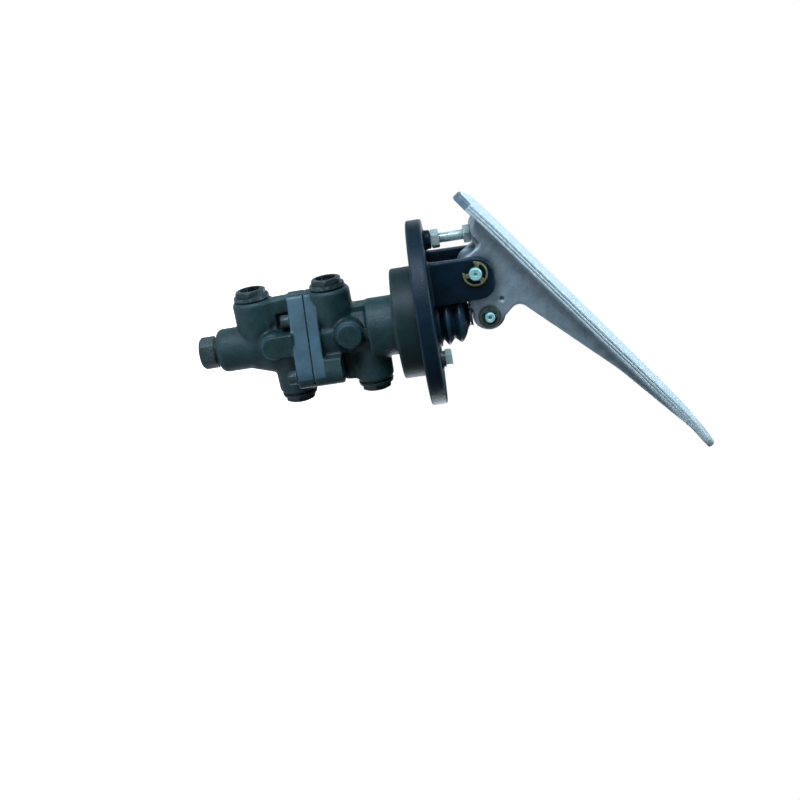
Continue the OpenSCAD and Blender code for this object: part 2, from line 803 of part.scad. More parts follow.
module clip_pair(x, z, d, seat_y, a) {
    for (side = [-1, 1])
        translate([x, side > 0 ? seat_y + clip_gap + clip_t : -seat_y - clip_gap, z])
            rotate([90, 0, 0]) retaining_clip(d, a);
}

module pivot_pin() {
    color(zinc) grooved_pin(-pivot_x, pivot_z, pivot_pin_d, ear_outer_y);
}

module pivot_clips() {
    color(yellow_zinc) clip_pair(-pivot_x, pivot_z, pivot_pin_d, ear_outer_y, 220);
}

module pivot_bushes() {
    color(bronze) both_sides() difference() {
        rod_y(-pivot_x, pivot_z, 3, web_outer_y, pivot_pin_d + 2 * bush_wall);
        rod_y(-pivot_x, pivot_z, 2, web_outer_y + 1, pivot_pin_d + 2 * fit);
    }
}

pin_washer_t = 1;

module roller_washers() {
    color(zinc) both_sides() difference() {
        rod_y(0, roller_z, web_outer_y, web_outer_y + pin_washer_t, roller_pin_d * 2.2);
        rod_y(0, roller_z, web_outer_y - 1, web_outer_y + pin_washer_t + 1, roller_pin_d + 2 * fit);
    }
}

module roller_pin() {
    color(zinc) grooved_pin(0, roller_z, roller_pin_d, web_outer_y + pin_washer_t);
}

module roller_clips() {
    color(yellow_zinc) clip_pair(0, roller_z, roller_pin_d, web_outer_y + pin_washer_t, 150);
}

module roller() {
    half = web_inner_y - side_play;
    color(steel) difference() {
        union() {
            rod_y(0, roller_z, -half, half, roller_d - 4);
            rod_y(0, roller_z, -half + 1.5, half - 1.5, roller_d);
        }
        rod_y(0, roller_z, -half - 1, half + 1, roller_pin_d + 4 * fit);
    }
}

// Stop screw in the pedal, which rests on the plate's stop pad
stop_head_z = plate_t + pad_h + rest_gap;
stop_nut_t = 5.8;
stop_head_t = 6.4;

module stop_screw() {
    color(zinc) translate([-stop_x, 0, stop_head_z]) {
        translate([0, 0, stop_head_t]) mirror([0, 0, 1]) rotate([0, 0, 30])
            hex_head(screw_af, stop_head_t);
        cylinder(d = screw_d, h = stop_wall_z + stop_thread - stop_head_z);
    }
}

module stop_nut() {
    color(zinc) translate([-stop_x, 0, stop_wall_z - stop_nut_t]) difference() {
        intersection() {
            rotate([0, 0, 12]) cylinder(d = screw_af / cos(30), h = stop_nut_t, $fn = 6);
            rotate_extrude() polygon([
                [0, 0], [screw_af * 0.5, 0], [screw_af * 0.57, 1], [screw_af * 0.57, stop_nut_t - 1],
                [screw_af * 0.5, stop_nut_t], [0, stop_nut_t],
            ]);
        }
        translate([0, 0, -1]) cylinder(d = screw_d + 2 * fit, h = stop_nut_t + 2);
    }
}

// Plunger that the roller presses
plunger_head_d = 22;
plunger_head_t = 1.8;
stem_end = -bush_tail - 2;

module plunger() {
    color(steel) rotate_extrude() polygon([
        [0, plunger_top], [plunger_head_d / 2 - 0.5, plunger_top], [plunger_head_d / 2, plunger_top - 0.5],
        [plunger_head_d / 2, plunger_top - plunger_head_t], [stem_d / 2, plunger_top - plunger_head_t],
        [stem_d / 2, stem_end], [0, stem_end],
    ]);
}

// Seat that spreads the plunger's push over the two control springs
seat_t = 3;
spring_length = 24;

module spring_seat() {
    color(steel) translate([0, 0, stem_end - seat_t]) {
        cylinder(d = chamber_d - 2 * loose - 2, h = seat_t);
        translate([0, 0, -3]) cylinder(d = inner_coil_r * 2 - 3, h = 4);
    }
}

// Coil spring along Z from height z0, with closed ends
outer_coil_r = 12.2;
inner_coil_r = 8;
spring_top = stem_end - seat_t;
spring_bottom = spring_top - spring_length;

// Share of the spring's height reached after a share t of its turns
function coil_rise(t, turns) =
    let (dead = 0.9 / turns)
    t < dead ? t * 0.35 : t > 1 - dead ? 1 - (1 - t) * 0.35
        : dead * 0.35 + (t - dead) * (1 - 0.7 * dead) / (1 - 2 * dead);

function coil_ring(coil_r, wire_r, angle, z, sides) = [
    for (j = [0:sides - 1])
        let (b = 360 * j / sides)
        [(coil_r + wire_r * cos(b)) * cos(angle), (coil_r + wire_r * cos(b)) * sin(angle), z + wire_r * sin(b)]
];

module coil_spring(coil_r, wire_r, turns, z0, length, steps, sides) {
    rings = round(turns * steps);
    points = [for (i = [0:rings]) each coil_ring(
        coil_r, wire_r, 360 * turns * i / rings,
        z0 + wire_r + (length - 2 * wire_r) * coil_rise(i / rings, turns), sides)];
    walls = [for (i = [0:rings - 1], j = [0:sides - 1])
        let (k = (j + 1) % sides, a = i * sides, b = a + sides)
        each [[a + j, b + j, b + k], [a + j, b + k, a + k]]];
    ends = [
        [for (j = [0:sides - 1]) j],
        [for (j = [sides - 1:-1:0]) rings * sides + j],
    ];
    polyhedron(points = points, faces = concat(walls, ends), convexity = 10);
}

module outer_spring() {
    color(steel) coil_spring(outer_coil_r, 1.3, 5, spring_bottom + 0.1, spring_length - 0.2, 14, 8);
}

module inner_spring() {
    color(steel) coil_spring(inner_coil_r, 0.9, 6, spring_bottom + 0.1, spring_length - 0.2, 12, 6);
}

// Spool with lands and one groove at each port it serves
module spool_body(d, top, bottom, groove_depths) {
    difference() {
        translate([0, 0, bottom]) cylinder(d = d, h = top - bottom);
        for (z = groove_depths) translate([0, 0, -z - 6]) difference() {
            cylinder(d = d + 2, h = 12);
            translate([0, 0, -1]) cylinder(d = d - 5, h = 14);
        }
    }
}

spool_travel = 3.2;
spool_joint = -joint_depth + spool_travel + 1;
lower_spool_end = -nose_end + 17.5;
spool_head_t = 2;

module upper_spool() {
    color(steel) {
        spool_body(upper_spool_d, spring_bottom - 1, spool_joint, [heel_port_depths[0]]);
        translate([0, 0, spring_bottom - spool_head_t])
            cylinder(d = chamber_d - 8, h = spool_head_t);
    }
}

module lower_spool() {
    color(steel) {
        spool_body(lower_spool_d, spool_joint, lower_spool_end,
            [toe_port_depths[1], heel_port_depths[1]]);
    }
}

module return_spring() {
    color(steel) coil_spring(4.2, 0.8, 6, spring_floor_z + 0.1,
        lower_spool_end - spring_floor_z - 0.2, 12, 6);
}

base_plate();
guide_bush();
wiper_seal();
boot();
boot_ring();
plate_screws();
plate_washers();
plate_spring_washers();
upper_housing();
lower_housing();
housing_seal();
housing_screws();
housing_washers();
heel_plug_upper();
heel_plug_lower();
toe_plug_upper();
toe_plug_lower();
port_seals();
end_plug();
end_plug_seal();
pedal();
pivot_pin();
pivot_clips();
pivot_bushes();
roller();
roller_pin();
roller_clips();
roller_washers();
stop_screw();
stop_nut();
plunger();
spring_seat();
outer_spring();
inner_spring();
upper_spool();
lower_spool();
return_spring();
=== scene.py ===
"""Looks of the foot brake valve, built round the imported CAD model.

Sizes are written in millimetres and made in metres, in the CAD's frame: +Z runs along the valve axis
towards the pedal, +X points towards the pedal's toe, and the photographed side faces -Y. The castings
are remeshed copies of the CAD solids with soft fillets. The tread, the boot and the threads are built
here point by point.
"""

import json
import logging
import math
from dataclasses import dataclass
from enum import Enum
from typing import Any, Callable, Iterable, Optional, Sequence

import bmesh
import bpy
import numpy as np
from mathutils import Matrix, Vector


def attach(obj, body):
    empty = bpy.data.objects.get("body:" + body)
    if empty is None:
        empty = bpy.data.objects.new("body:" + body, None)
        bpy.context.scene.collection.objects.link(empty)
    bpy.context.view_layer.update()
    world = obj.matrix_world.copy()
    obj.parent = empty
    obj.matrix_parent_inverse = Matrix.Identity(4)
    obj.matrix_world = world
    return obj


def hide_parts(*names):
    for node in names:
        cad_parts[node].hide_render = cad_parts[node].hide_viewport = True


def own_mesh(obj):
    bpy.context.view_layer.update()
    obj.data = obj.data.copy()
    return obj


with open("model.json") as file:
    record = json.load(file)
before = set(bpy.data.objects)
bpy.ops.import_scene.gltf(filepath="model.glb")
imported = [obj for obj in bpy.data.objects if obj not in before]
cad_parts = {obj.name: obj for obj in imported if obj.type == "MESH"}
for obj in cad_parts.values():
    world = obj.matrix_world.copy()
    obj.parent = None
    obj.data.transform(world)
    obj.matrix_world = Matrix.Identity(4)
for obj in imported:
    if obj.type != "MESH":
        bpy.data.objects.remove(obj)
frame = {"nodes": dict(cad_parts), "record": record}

log = logging.getLogger("brake_valve")

MM = 0.001

# Pedal plate's own frame, as in the CAD: s runs along the plate and n up from its underside
HEEL_POINT = (-95.0, 41.3)
PEDAL_ANGLE = math.radians(37.5)
PLATE_ALONG = (math.cos(PEDAL_ANGLE), 0.0, math.sin(PEDAL_ANGLE))
PLATE_UP = (-math.sin(PEDAL_ANGLE), 0.0, math.cos(PEDAL_ANGLE))
PEDAL_LENGTH = 299.0
PEDAL_WIDTH = 52.0
TOE_WIDTH = 36.0
PEDAL_THICKNESS = 6.5
# Where the plate starts to narrow towards the toe
WAIST = PEDAL_LENGTH * 0.56
# Slanted cuts of the heel end: length on the near side, and length and middle on the far side
HEEL_CUT = 10.0
FAR_CUT, FAR_CUT_Y = 12.0, -3.0
# Length and depth of the plate's bends
HEEL_BEND, HEEL_DROP = 40.0, 1.7
TOE_BEND, TOE_DROP = 60.0, 3.2
# How far before the toe's end the rim starts to become round, and the way it takes
TOE_ROUND, TOE_ROUND_WAY = 16.0, 8.0
# How far past the plate's ends the bends go on, as a share of their length
BEND_OVERRUN = 1.2

# Axes of the two pins, as x and z
PIVOT = (-37.6, 48.1)
ROLLER = (0.0, 55.0)

# How much the springs shorten at the joints' limits: the plunger's way less the spools', and the
# spools' own way
CONTROL_SPRING_TRAVEL, RETURN_SPRING_TRAVEL = 7.0, 3.3

# Outward direction of the flanges' slanted sides, mirrored for the far side, and their distance
# from the axis
FLANGE_SIDE = (-0.398, 0.917, 0.0)
FLANGE_REACH = 23.5
FLANGE_BOTTOM, FLANGE_TOP = -101.5, -78.5
COLLAR_BOTTOM, COLLAR_RADIUS = -18.2, 44.4

# Hexagon heads and nuts: steps round them, flat face as a share of the size across, and chamfer
HEX_STEPS = 72
HEX_FLAT = 0.95
HEX_CHAMFER = math.radians(30)
M8_ACROSS = 13.0

# Radius at which a turned outline stops short of its axis, too small to show
CENTRE = 0.01

# Shares of a noise between which one tone passes into the next
PATCH_EDGES = (0.38, 0.62)
GRAIN_EDGES = (0.3, 0.7)
# Openness of a corner from fully in painted shade to clear of it, and how far off a wall still counts
CORNER_SHADE_EDGES = (0.40, 0.96)
CORNER_SHADE_REACH = 8.0
# Sharpness of an edge from flat to fully rubbed bright with a painted highlight, and the grain that breaks
# both up
WORN_AND_HIGHLIT_EDGES = (0.51, 0.57)
WORN_AND_HIGHLIT_GRAIN_EDGES = (0.40, 0.60)


class Surface(Enum):
    """How a surface was made, which tells how it ages."""

    PAINT = "paint"
    CAST = "cast"
    PLATED = "plated"
    MACHINED = "machined"
    MOULDED = "moulded"

    @property
    def edges_worn_and_highlit(self) -> bool:
        """Whether its edges turn brighter, partly from rubbing and partly as a painted highlight."""
        return self in (Surface.PAINT, Surface.CAST)


def srgb(code: str) -> tuple[float, float, float, float]:
    """Turns an sRGB hex colour into linear RGBA.

    Args:
        code: Colour such as "#3a5052".

    Returns:
        Linear red, green, blue and an alpha of 1.
    """
    parts = [int(code[i:i + 2], 16) / 255 for i in (1, 3, 5)]
    linear = [c / 12.92 if c <= 0.04045 else ((c + 0.055) / 1.055) ** 2.4 for c in parts]
    return (linear[0], linear[1], linear[2], 1.0)


def add_node(
    tree: bpy.types.NodeTree,
    kind: str,
    settings: Optional[dict[Any, Any]] = None,
    links: Optional[dict[Any, bpy.types.NodeSocket]] = None,
) -> bpy.types.Node:
    """Adds a shader node with its settings and links.

    Args:
        tree: Node tree that gets the node.
        kind: Blender's name of the node's type.
        settings: Values by property name, or by socket name or number.
        links: Source sockets by the input that they feed.

    Returns:
        The new node.
    """
    node = tree.nodes.new(kind)
    for key, value in (settings or {}).items():
        if isinstance(key, str) and hasattr(node, key):
            setattr(node, key, value)
        else:
            node.inputs[key].default_value = value
    for key, source in (links or {}).items():
        tree.links.new(source, node.inputs[key])
    return node


@dataclass(frozen=True)
class Finish:
    """A surface finish. Sizes are in millimetres.

    The lighter edge colour and its share count only where edges get it: it stands for rubbing and for a
    painted highlight on sharp edges.
    """

    name: str
    surface: Surface
    base: str
    patch: str
    # Colour of the painted shade where walls meet
    corner_shade: str
    metallic: float
    rough_low: float
    rough_high: float
    patch_mm: float
    grain_mm: float
    grain_depth: float
    fine_mm: float
    fine_depth: float
    # Share of the painted shade at the most closed corners
    corner_shade_share: float = 0.5
    # Colour and share of the lighter edges, partly wear and partly painted highlight
    worn_and_highlight: str = "#ffffff"
    worn_and_highlight_share: float = 0.0
    specular: float = 0.5

    def build(self) -> bpy.types.Material:
        """Makes the material.

        Returns:
            The material, with noise, painted shade where walls meet, edge wear with a painted highlight,
            and bump at real size.
        """
        material = bpy.data.materials.new(self.name)
        material.use_nodes = True
        tree = material.node_tree
        tree.nodes.clear()
        output = add_node(tree, "ShaderNodeOutputMaterial")
        shader = add_node(tree, "ShaderNodeBsdfPrincipled", {
            "Metallic": self.metallic, "Specular IOR Level": self.specular,
        })
        tree.links.new(shader.outputs["BSDF"], output.inputs["Surface"])
        place = add_node(tree, "ShaderNodeTexCoord").outputs["Object"]
        # The mapping turns metres into millimetres, so a noise's scale is one over its size
        millimetres = add_node(tree, "ShaderNodeMapping", {"Scale": (1000, 1000, 1000)},
                               {"Vector": place}).outputs["Vector"]

        def noise(size_mm: float, detail: float) -> bpy.types.NodeSocket:
            """Adds a noise.

            Args:
                size_mm: Size of its patches.
                detail: Number of finer layers in it.

            Returns:
                Its strength, from 0 to 1.
            """
            return add_node(tree, "ShaderNodeTexNoise",
                            {"Scale": 1 / size_mm, "Detail": detail, "Roughness": 0.6},
                            {"Vector": millimetres}).outputs["Fac"]

        def stretch(source: bpy.types.NodeSocket, edges: tuple[float, float],
                    to_low: float, to_high: float) -> bpy.types.NodeSocket:
            """Stretches a value from one range to another.

            Args:
                source: The value.
                edges: Range that it comes from.
                to_low: Lower end of the new range.
                to_high: Upper end of the new range.

            Returns:
                The stretched value.
            """
            return add_node(tree, "ShaderNodeMapRange", {
                "From Min": edges[0], "From Max": edges[1], "To Min": to_low, "To Max": to_high,
            }, {"Value": source}).outputs["Result"]

        def blend(share: bpy.types.NodeSocket, one: Any, other: Any) -> bpy.types.NodeSocket:
            """Blends two colours.

            Args:
                share: Share of the second colour.
                one: First colour, as hex code or socket.
                other: Second colour, as hex code or socket.

            Returns:
                The blended colour.
            """
            settings: dict[Any, Any] = {"data_type": "RGBA"}
            links: dict[Any, bpy.types.NodeSocket] = {0: share}
            for socket, colour in ((6, one), (7, other)):
                if isinstance(colour, str):
                    settings[socket] = srgb(colour)
                else:
                    links[socket] = colour
            return add_node(tree, "ShaderNodeMix", settings, links).outputs[2]

        patches = noise(self.patch_mm, 4)
        grain = noise(self.grain_mm, 3)
        fine = noise(self.fine_mm, 2)
        colour = blend(stretch(patches, PATCH_EDGES, 0, 1), self.base, self.patch)
        # Painted shade: the colour darkens towards the shade colour where walls meet, by how closed in
        # each point is
        hollow = add_node(tree, "ShaderNodeAmbientOcclusion",
                          {"samples": 4, "Distance": CORNER_SHADE_REACH * MM}).outputs["AO"]
        colour = blend(stretch(hollow, CORNER_SHADE_EDGES, self.corner_shade_share, 0), colour, self.corner_shade)
        # Wear and painted highlight: sharp edges turn towards a lighter colour
        if self.surface.edges_worn_and_highlit:
            edge = add_node(tree, "ShaderNodeNewGeometry").outputs["Pointiness"]
            worn_and_highlit = add_node(tree, "ShaderNodeMath", {"operation": "MULTIPLY"}, {
                0: stretch(edge, WORN_AND_HIGHLIT_EDGES, 0, self.worn_and_highlight_share),
                1: stretch(grain, WORN_AND_HIGHLIT_GRAIN_EDGES, 0.3, 1),
            }).outputs[0]
            colour = blend(worn_and_highlit, colour, self.worn_and_highlight)
        tree.links.new(colour, shader.inputs["Base Color"])
        rough = stretch(grain, GRAIN_EDGES, self.rough_low, self.rough_high)
        tree.links.new(rough, shader.inputs["Roughness"])
        coarse_bump = add_node(tree, "ShaderNodeBump",
                               {"Strength": 1.0, "Distance": self.grain_depth * MM},
                               {"Height": grain})
        fine_bump = add_node(tree, "ShaderNodeBump",
                             {"Strength": 1.0, "Distance": self.fine_depth * MM},
                             {"Height": fine, "Normal": coarse_bump.outputs["Normal"]})
        tree.links.new(fine_bump.outputs["Normal"], shader.inputs["Normal"])
        return material


# The photograph has about 1.25 pixels a millimetre. Moulding sand of about 0.3 mm would not show, so
# the castings' grain is drawn at about 1 mm or more, and only their fine bump is finer.

# Grey-green paint sprayed over a sand casting: the sand's grain shows through, and the gloss is low
CASTING_PAINT = Finish(
    "casting_paint", Surface.PAINT, "#274749", "#1d393a", "#081416",
    metallic=0.0, rough_low=0.34, rough_high=0.50, patch_mm=10, grain_mm=1.5, grain_depth=0.42,
    fine_mm=0.5, fine_depth=0.14, corner_shade_share=1.0, worn_and_highlight="#567c8a", worn_and_highlight_share=0.9, specular=0.4,
)
# The same paint over the flanges' machined sides, where it lies smooth; its lighter colour is a painted
# highlight for the light that these faces catch
FLANGE_HIGHLIGHT_PAINT = Finish(
    "flange_highlight_paint", Surface.PAINT, "#4a6b7c", "#3d5965", "#1a2a2f",
    metallic=0.0, rough_low=0.30, rough_high=0.44, patch_mm=16, grain_mm=0.9, grain_depth=0.10,
    fine_mm=0.5, fine_depth=0.08, corner_shade_share=0.5, worn_and_highlight="#7b9fb0", worn_and_highlight_share=0.3, specular=0.5,
)
# The same paint on the turned collar, made darker as painted shade because the collar lies in less light
COLLAR_SHADE_PAINT = Finish(
    "collar_shade_paint", Surface.PAINT, "#1b3436", "#142b2c", "#0a1618",
    metallic=0.0, rough_low=0.40, rough_high=0.56, patch_mm=14, grain_mm=1.3, grain_depth=0.20,
    fine_mm=0.5, fine_depth=0.10, corner_shade_share=0.8, worn_and_highlight="#456470", worn_and_highlight_share=0.8, specular=0.3,
)
# The same paint over turned plugs, smoother than on the castings
PLUG_PAINT = Finish(
    "plug_paint", Surface.PAINT, "#1b2d2e", "#132325", "#050c0e",
    metallic=0.0, rough_low=0.34, rough_high=0.50, patch_mm=12, grain_mm=1.2, grain_depth=0.06,
    fine_mm=0.4, fine_depth=0.03, corner_shade_share=0.7, worn_and_highlight="#6f8b8d", worn_and_highlight_share=0.4,
)
# Black paint with a satin gloss over a machined casting
BLACK_PAINT = Finish(
    "black_paint", Surface.PAINT, "#102836", "#0c1f2b", "#04090e",
    metallic=0.0, rough_low=0.30, rough_high=0.46, patch_mm=14, grain_mm=1.3, grain_depth=0.30,
    fine_mm=0.6, fine_depth=0.05, corner_shade_share=0.6, worn_and_highlight="#4f6d80", worn_and_highlight_share=0.6, specular=0.2,
)
# Aluminium as cast in a metal mould, dulled by air, with brighter edges that are partly rubbed and partly
# a painted highlight
CAST_ALUMINIUM = Finish(
    "cast_aluminium", Surface.CAST, "#c2d3dc", "#a8bac6", "#3e4953",
    metallic=0.55, rough_low=0.36, rough_high=0.60, patch_mm=9, grain_mm=1.3, grain_depth=0.12,
    fine_mm=0.45, fine_depth=0.05, corner_shade_share=0.6, worn_and_highlight="#eaf2f6", worn_and_highlight_share=0.9,
)
# The tread's rubbed aluminium: bright, with a rough grain between the points
TREAD_ALUMINIUM = Finish(
    "tread_aluminium", Surface.CAST, "#eaf8fb", "#b2d0db", "#33454d",
    metallic=0.2, rough_low=0.34, rough_high=0.52, patch_mm=2.6, grain_mm=1.1, grain_depth=0.04,
    fine_mm=0.4, fine_depth=0.015, corner_shade_share=0.85, worn_and_highlight="#f6fdfd", worn_and_highlight_share=0.4,
)
# The pedal's heel end, where the casting's gate was ground off: darker and smoother
GROUND_ALUMINIUM = Finish(
    "ground_aluminium", Surface.CAST, "#667b8a", "#576c7a", "#2c3a44",
    metallic=0.5, rough_low=0.36, rough_high=0.50, patch_mm=5, grain_mm=1.2, grain_depth=0.03,
    fine_mm=0.4, fine_depth=0.01, corner_shade_share=0.5, worn_and_highlight="#a9bcc8", worn_and_highlight_share=0.3,
)
# Bright zinc plate with a blue-green passivation
ZINC = Finish(
    "zinc_plate", Surface.PLATED, "#eefcf8", "#d2eee8", "#1c3236",
    metallic=0.45, rough_low=0.16, rough_high=0.24, patch_mm=8, grain_mm=3.0, grain_depth=0.01,
    fine_mm=0.8, fine_depth=0.002, corner_shade_share=0.7,
)
# The pins' zinc plate has a bluer passivation; its dark teal in the centre holes is that tint darkened as
# painted shade
BLUE_ZINC = Finish(
    "blue_zinc_plate", Surface.PLATED, "#c8fcfa", "#a6eef0", "#0d4a52",
    metallic=0.2, rough_low=0.20, rough_high=0.30, patch_mm=6, grain_mm=3.0, grain_depth=0.008,
    fine_mm=0.8, fine_depth=0.002, corner_shade_share=0.8,
)
# Zinc plate with a yellow passivation, which shifts from straw to olive
YELLOW_ZINC = Finish(
    "yellow_zinc", Surface.PLATED, "#c3bf90", "#8d9672", "#2c3022",
    metallic=0.5, rough_low=0.26, rough_high=0.42, patch_mm=3, grain_mm=0.8, grain_depth=0.02,
    fine_mm=0.3, fine_depth=0.01, corner_shade_share=0.6,
)
# Blackened steel with a film of oil
DULL_STEEL = Finish(
    "dull_steel", Surface.PLATED, "#6f7b74", "#56635e", "#161d1d",
    metallic=0.45, rough_low=0.34, rough_high=0.50, patch_mm=8, grain_mm=0.9, grain_depth=0.03,
    fine_mm=0.3, fine_depth=0.02, corner_shade_share=0.6,
)
# Ground and hardened steel of the roller, plunger and spools
GROUND_STEEL = Finish(
    "ground_steel", Surface.MACHINED, "#b8bfc2", "#aab2b6", "#565e62",
    metallic=1.0, rough_low=0.18, rough_high=0.30, patch_mm=10, grain_mm=0.7, grain_depth=0.01,
    fine_mm=0.25, fine_depth=0.008, corner_shade_share=0.5,
)
# Sintered bronze of the bushes
BRONZE = Finish(
    "sintered_bronze", Surface.MACHINED, "#a67c4a", "#8f693e", "#4b3a24",
    metallic=0.9, rough_low=0.36, rough_high=0.52, patch_mm=6, grain_mm=0.6, grain_depth=0.03,
    fine_mm=0.25, fine_depth=0.02, corner_shade_share=0.6,
)
# Moulded black rubber with a dull bloom on its crests
BOOT_RUBBER = Finish(
    "boot_rubber", Surface.MOULDED, "#1d3f52", "#163243", "#050b11",
    metallic=0.0, rough_low=0.32, rough_high=0.48, patch_mm=9, grain_mm=1.2, grain_depth=0.05,
    fine_mm=0.4, fine_depth=0.02, corner_shade_share=0.5, specular=0.4,
)
# Black nitrile rubber of the seals
SEAL_RUBBER = Finish(
    "seal_rubber", Surface.MOULDED, "#14191c", "#101417", "#07090b",
    metallic=0.0, rough_low=0.34, rough_high=0.48, patch_mm=5, grain_mm=0.8, grain_depth=0.02,
    fine_mm=0.3, fine_depth=0.01, corner_shade_share=0.3, specular=0.4,
)

FINISH_OF_SLOT = {
    "cast_grey": CASTING_PAINT,
    "plug_grey": PLUG_PAINT,
    "black_paint": BLACK_PAINT,
    "cast_aluminium": CAST_ALUMINIUM,
    "zinc_steel": ZINC,
    "yellow_zinc": YELLOW_ZINC,
    "dull_steel": DULL_STEEL,
    "ground_steel": GROUND_STEEL,
    "bronze": BRONZE,
    "seal_rubber": SEAL_RUBBER,
    "boot_rubber": BOOT_RUBBER,
}

# Pieces that look different from the rest of their slot in the photograph
FINISH_OF_NODE = {
    "roller_washers": DULL_STEEL,
    "roller_clips": DULL_STEEL,
    "plate_washers": DULL_STEEL,
    "plate_spring_washers": DULL_STEEL,
    "housing_screws": PLUG_PAINT,
    "housing_washers": PLUG_PAINT,
}


class Paintbox:
    """Builds each material once and hands it out."""

    def __init__(self) -> None:
        """Starts with no material made."""
        self._made: dict[str, bpy.types.Material] = {}

    def get(self, finish: Finish) -> bpy.types.Material:
        """Finds or builds the material of a finish.

        Args:
            finish: The finish wanted.

        Returns:
            Its material.
        """
        if finish.name not in self._made:
            self._made[finish.name] = finish.build()
        return self._made[finish.name]


def new_object(name: str, mesh: bpy.types.Mesh) -> bpy.types.Object:
    """Puts a mesh into the scene.

    Args:
        name: Name of the object and of its mesh.
        mesh: The mesh.

    Returns:
        The new object.
    """
    mesh.name = name
    piece = bpy.data.objects.new(name, mesh)
    bpy.context.scene.collection.objects.link(piece)
    return piece


def mesh_from(vertices: Iterable[Sequence[float]], faces: Iterable[Sequence[int]]) -> bpy.types.Mesh:
    """Builds a mesh with outward normals from points in millimetres.

    Args:
        vertices: Points in millimetres.
        faces: Corner numbers of each face.

    Returns:
        The mesh, in metres.
    """
    mesh = bpy.data.meshes.new("made")
    mesh.from_pydata([[c * MM for c in v] for v in vertices], [], [list(f) for f in faces])
    work = bmesh.new()
    work.from_mesh(mesh)
    bmesh.ops.recalc_face_normals(work, faces=work.faces)
    work.to_mesh(mesh)
    work.free()
    return mesh


def welded_copy(node: str) -> bpy.types.Mesh:
    """Copies a CAD node's mesh and joins the points that its export split.

    Args:
        node: Name of the CAD node.

    Returns:
        A closed mesh of its own.
    """
    mesh = frame["nodes"][node].data.copy()
    work = bmesh.new()
    work.from_mesh(mesh)
    bmesh.ops.remove_doubles(work, verts=work.verts, dist=1e-6)
    work.to_mesh(mesh)
    work.free()
    mesh.materials.clear()
    return mesh


def modified(mesh: bpy.types.Mesh, steps: Sequence[tuple[str, dict[str, Any]]],
             groups: Optional[dict[str, Sequence[float]]] = None) -> bpy.types.Mesh:
    """Runs a mesh through a stack of modifiers.

    Args:
        mesh: The mesh to start from.
        steps: Type and settings of each modifier.
        groups: Weights of named vertex groups that the modifiers may use.

    Returns:
        The resulting mesh.
    """
    work = new_object("work", mesh)
    for name, weights in (groups or {}).items():
        group = work.vertex_groups.new(name=name)
        for i, weight in enumerate(weights):
            if weight > 0:
                group.add([i], float(weight), "REPLACE")
    for kind, settings in steps:
        modifier = work.modifiers.new(kind.lower(), kind)
        for key, value in settings.items():
            setattr(modifier, key, value)
    bpy.context.view_layer.update()
    graph = bpy.context.evaluated_depsgraph_get()
    result = bpy.data.meshes.new_from_object(work.evaluated_get(graph))
    bpy.data.objects.remove(work)
    return result


def points_of(mesh: bpy.types.Mesh) -> np.ndarray:
    """Reads a mesh's points.

    Args:
        mesh: The mesh.

    Returns:
        One row of x, y and z in metres for each point.
    """
    flat = np.zeros(len(mesh.vertices) * 3)
    mesh.vertices.foreach_get("co", flat)
    return flat.reshape(-1, 3)


def set_points(mesh: bpy.types.Mesh, points: np.ndarray) -> None:
    """Writes a mesh's points.

    Args:
        mesh: The mesh.
        points: One row for each point, in metres.
    """
    mesh.vertices.foreach_set("co", points.ravel())
    mesh.update()


def smooth_shaded(mesh: bpy.types.Mesh, sharp_degrees: Optional[float] = None) -> None:
    """Shades a mesh smooth, apart from its sharp edges.

    Args:
        mesh: The mesh.
        sharp_degrees: Angle from which an edge stays sharp, or None for none.
    """
    mesh.shade_smooth()
    if sharp_degrees is not None:
        mesh.set_sharp_from_angle(angle=math.radians(sharp_degrees))


def cast_skin(mesh: bpy.types.Mesh, voxel: float, fillet: float, soften: int,
              machined: Optional[Callable[[np.ndarray], np.ndarray]] = None) -> bpy.types.Mesh:
    """Gives a solid the fillets and soft edges of a casting.

    The skin is swollen, fused and shrunk back, which fills the inner corners to a radius, and is then
    smoothed.

    Args:
        mesh: Closed mesh of the solid.
        voxel: Size of the skin's faces in millimetres.
        fillet: Radius of the inner corners in millimetres.
        soften: Rounds of smoothing.
        machined: Tells for each point whether it lies on a machined face, which stays crisp.

    Returns:
        The new skin.
    """
    fuse = ("REMESH", {"mode": "VOXEL", "voxel_size": voxel * MM, "use_smooth_shade": True})
    swell = ("DISPLACE", {"strength": fillet * MM, "mid_level": 0.0})
    shrink = ("DISPLACE", {"strength": -fillet * MM, "mid_level": 0.0})
    relax = ("SMOOTH", {"factor": 0.5, "iterations": 2})
    skin = modified(mesh, [fuse, swell, fuse, relax, shrink, fuse])
    points = points_of(skin)
    free = np.ones(len(points)) if machined is None else np.where(machined(points / MM), 0.0, 1.0)
    skin = modified(skin, [
        ("SMOOTH", {"factor": 0.5, "iterations": soften, "vertex_group": "free"}),
    ], {"free": free})
    smooth_shaded(skin)
    return skin


def bevelled(mesh: bpy.types.Mesh, width: float) -> bpy.types.Mesh:
    """Breaks the sharp edges of a machined solid.

    Args:
        mesh: Closed mesh of the solid.
        width: Width of the broken edge in millimetres.

    Returns:
        The new mesh.
    """
    work = bmesh.new()
    work.from_mesh(mesh)
    bmesh.ops.dissolve_limit(work, angle_limit=math.radians(1.5), verts=work.verts, edges=work.edges,
                             delimit={"NORMAL"})
    work.to_mesh(mesh)
    work.free()
    made = modified(mesh, [
        ("BEVEL", {"width": width * MM, "segments": 2, "limit_method": "ANGLE",
                   "angle_limit": math.radians(32), "use_clamp_overlap": True}),
        ("WEIGHTED_NORMAL", {"keep_sharp": True}),
    ])
    smooth_shaded(made, 50)
    return made


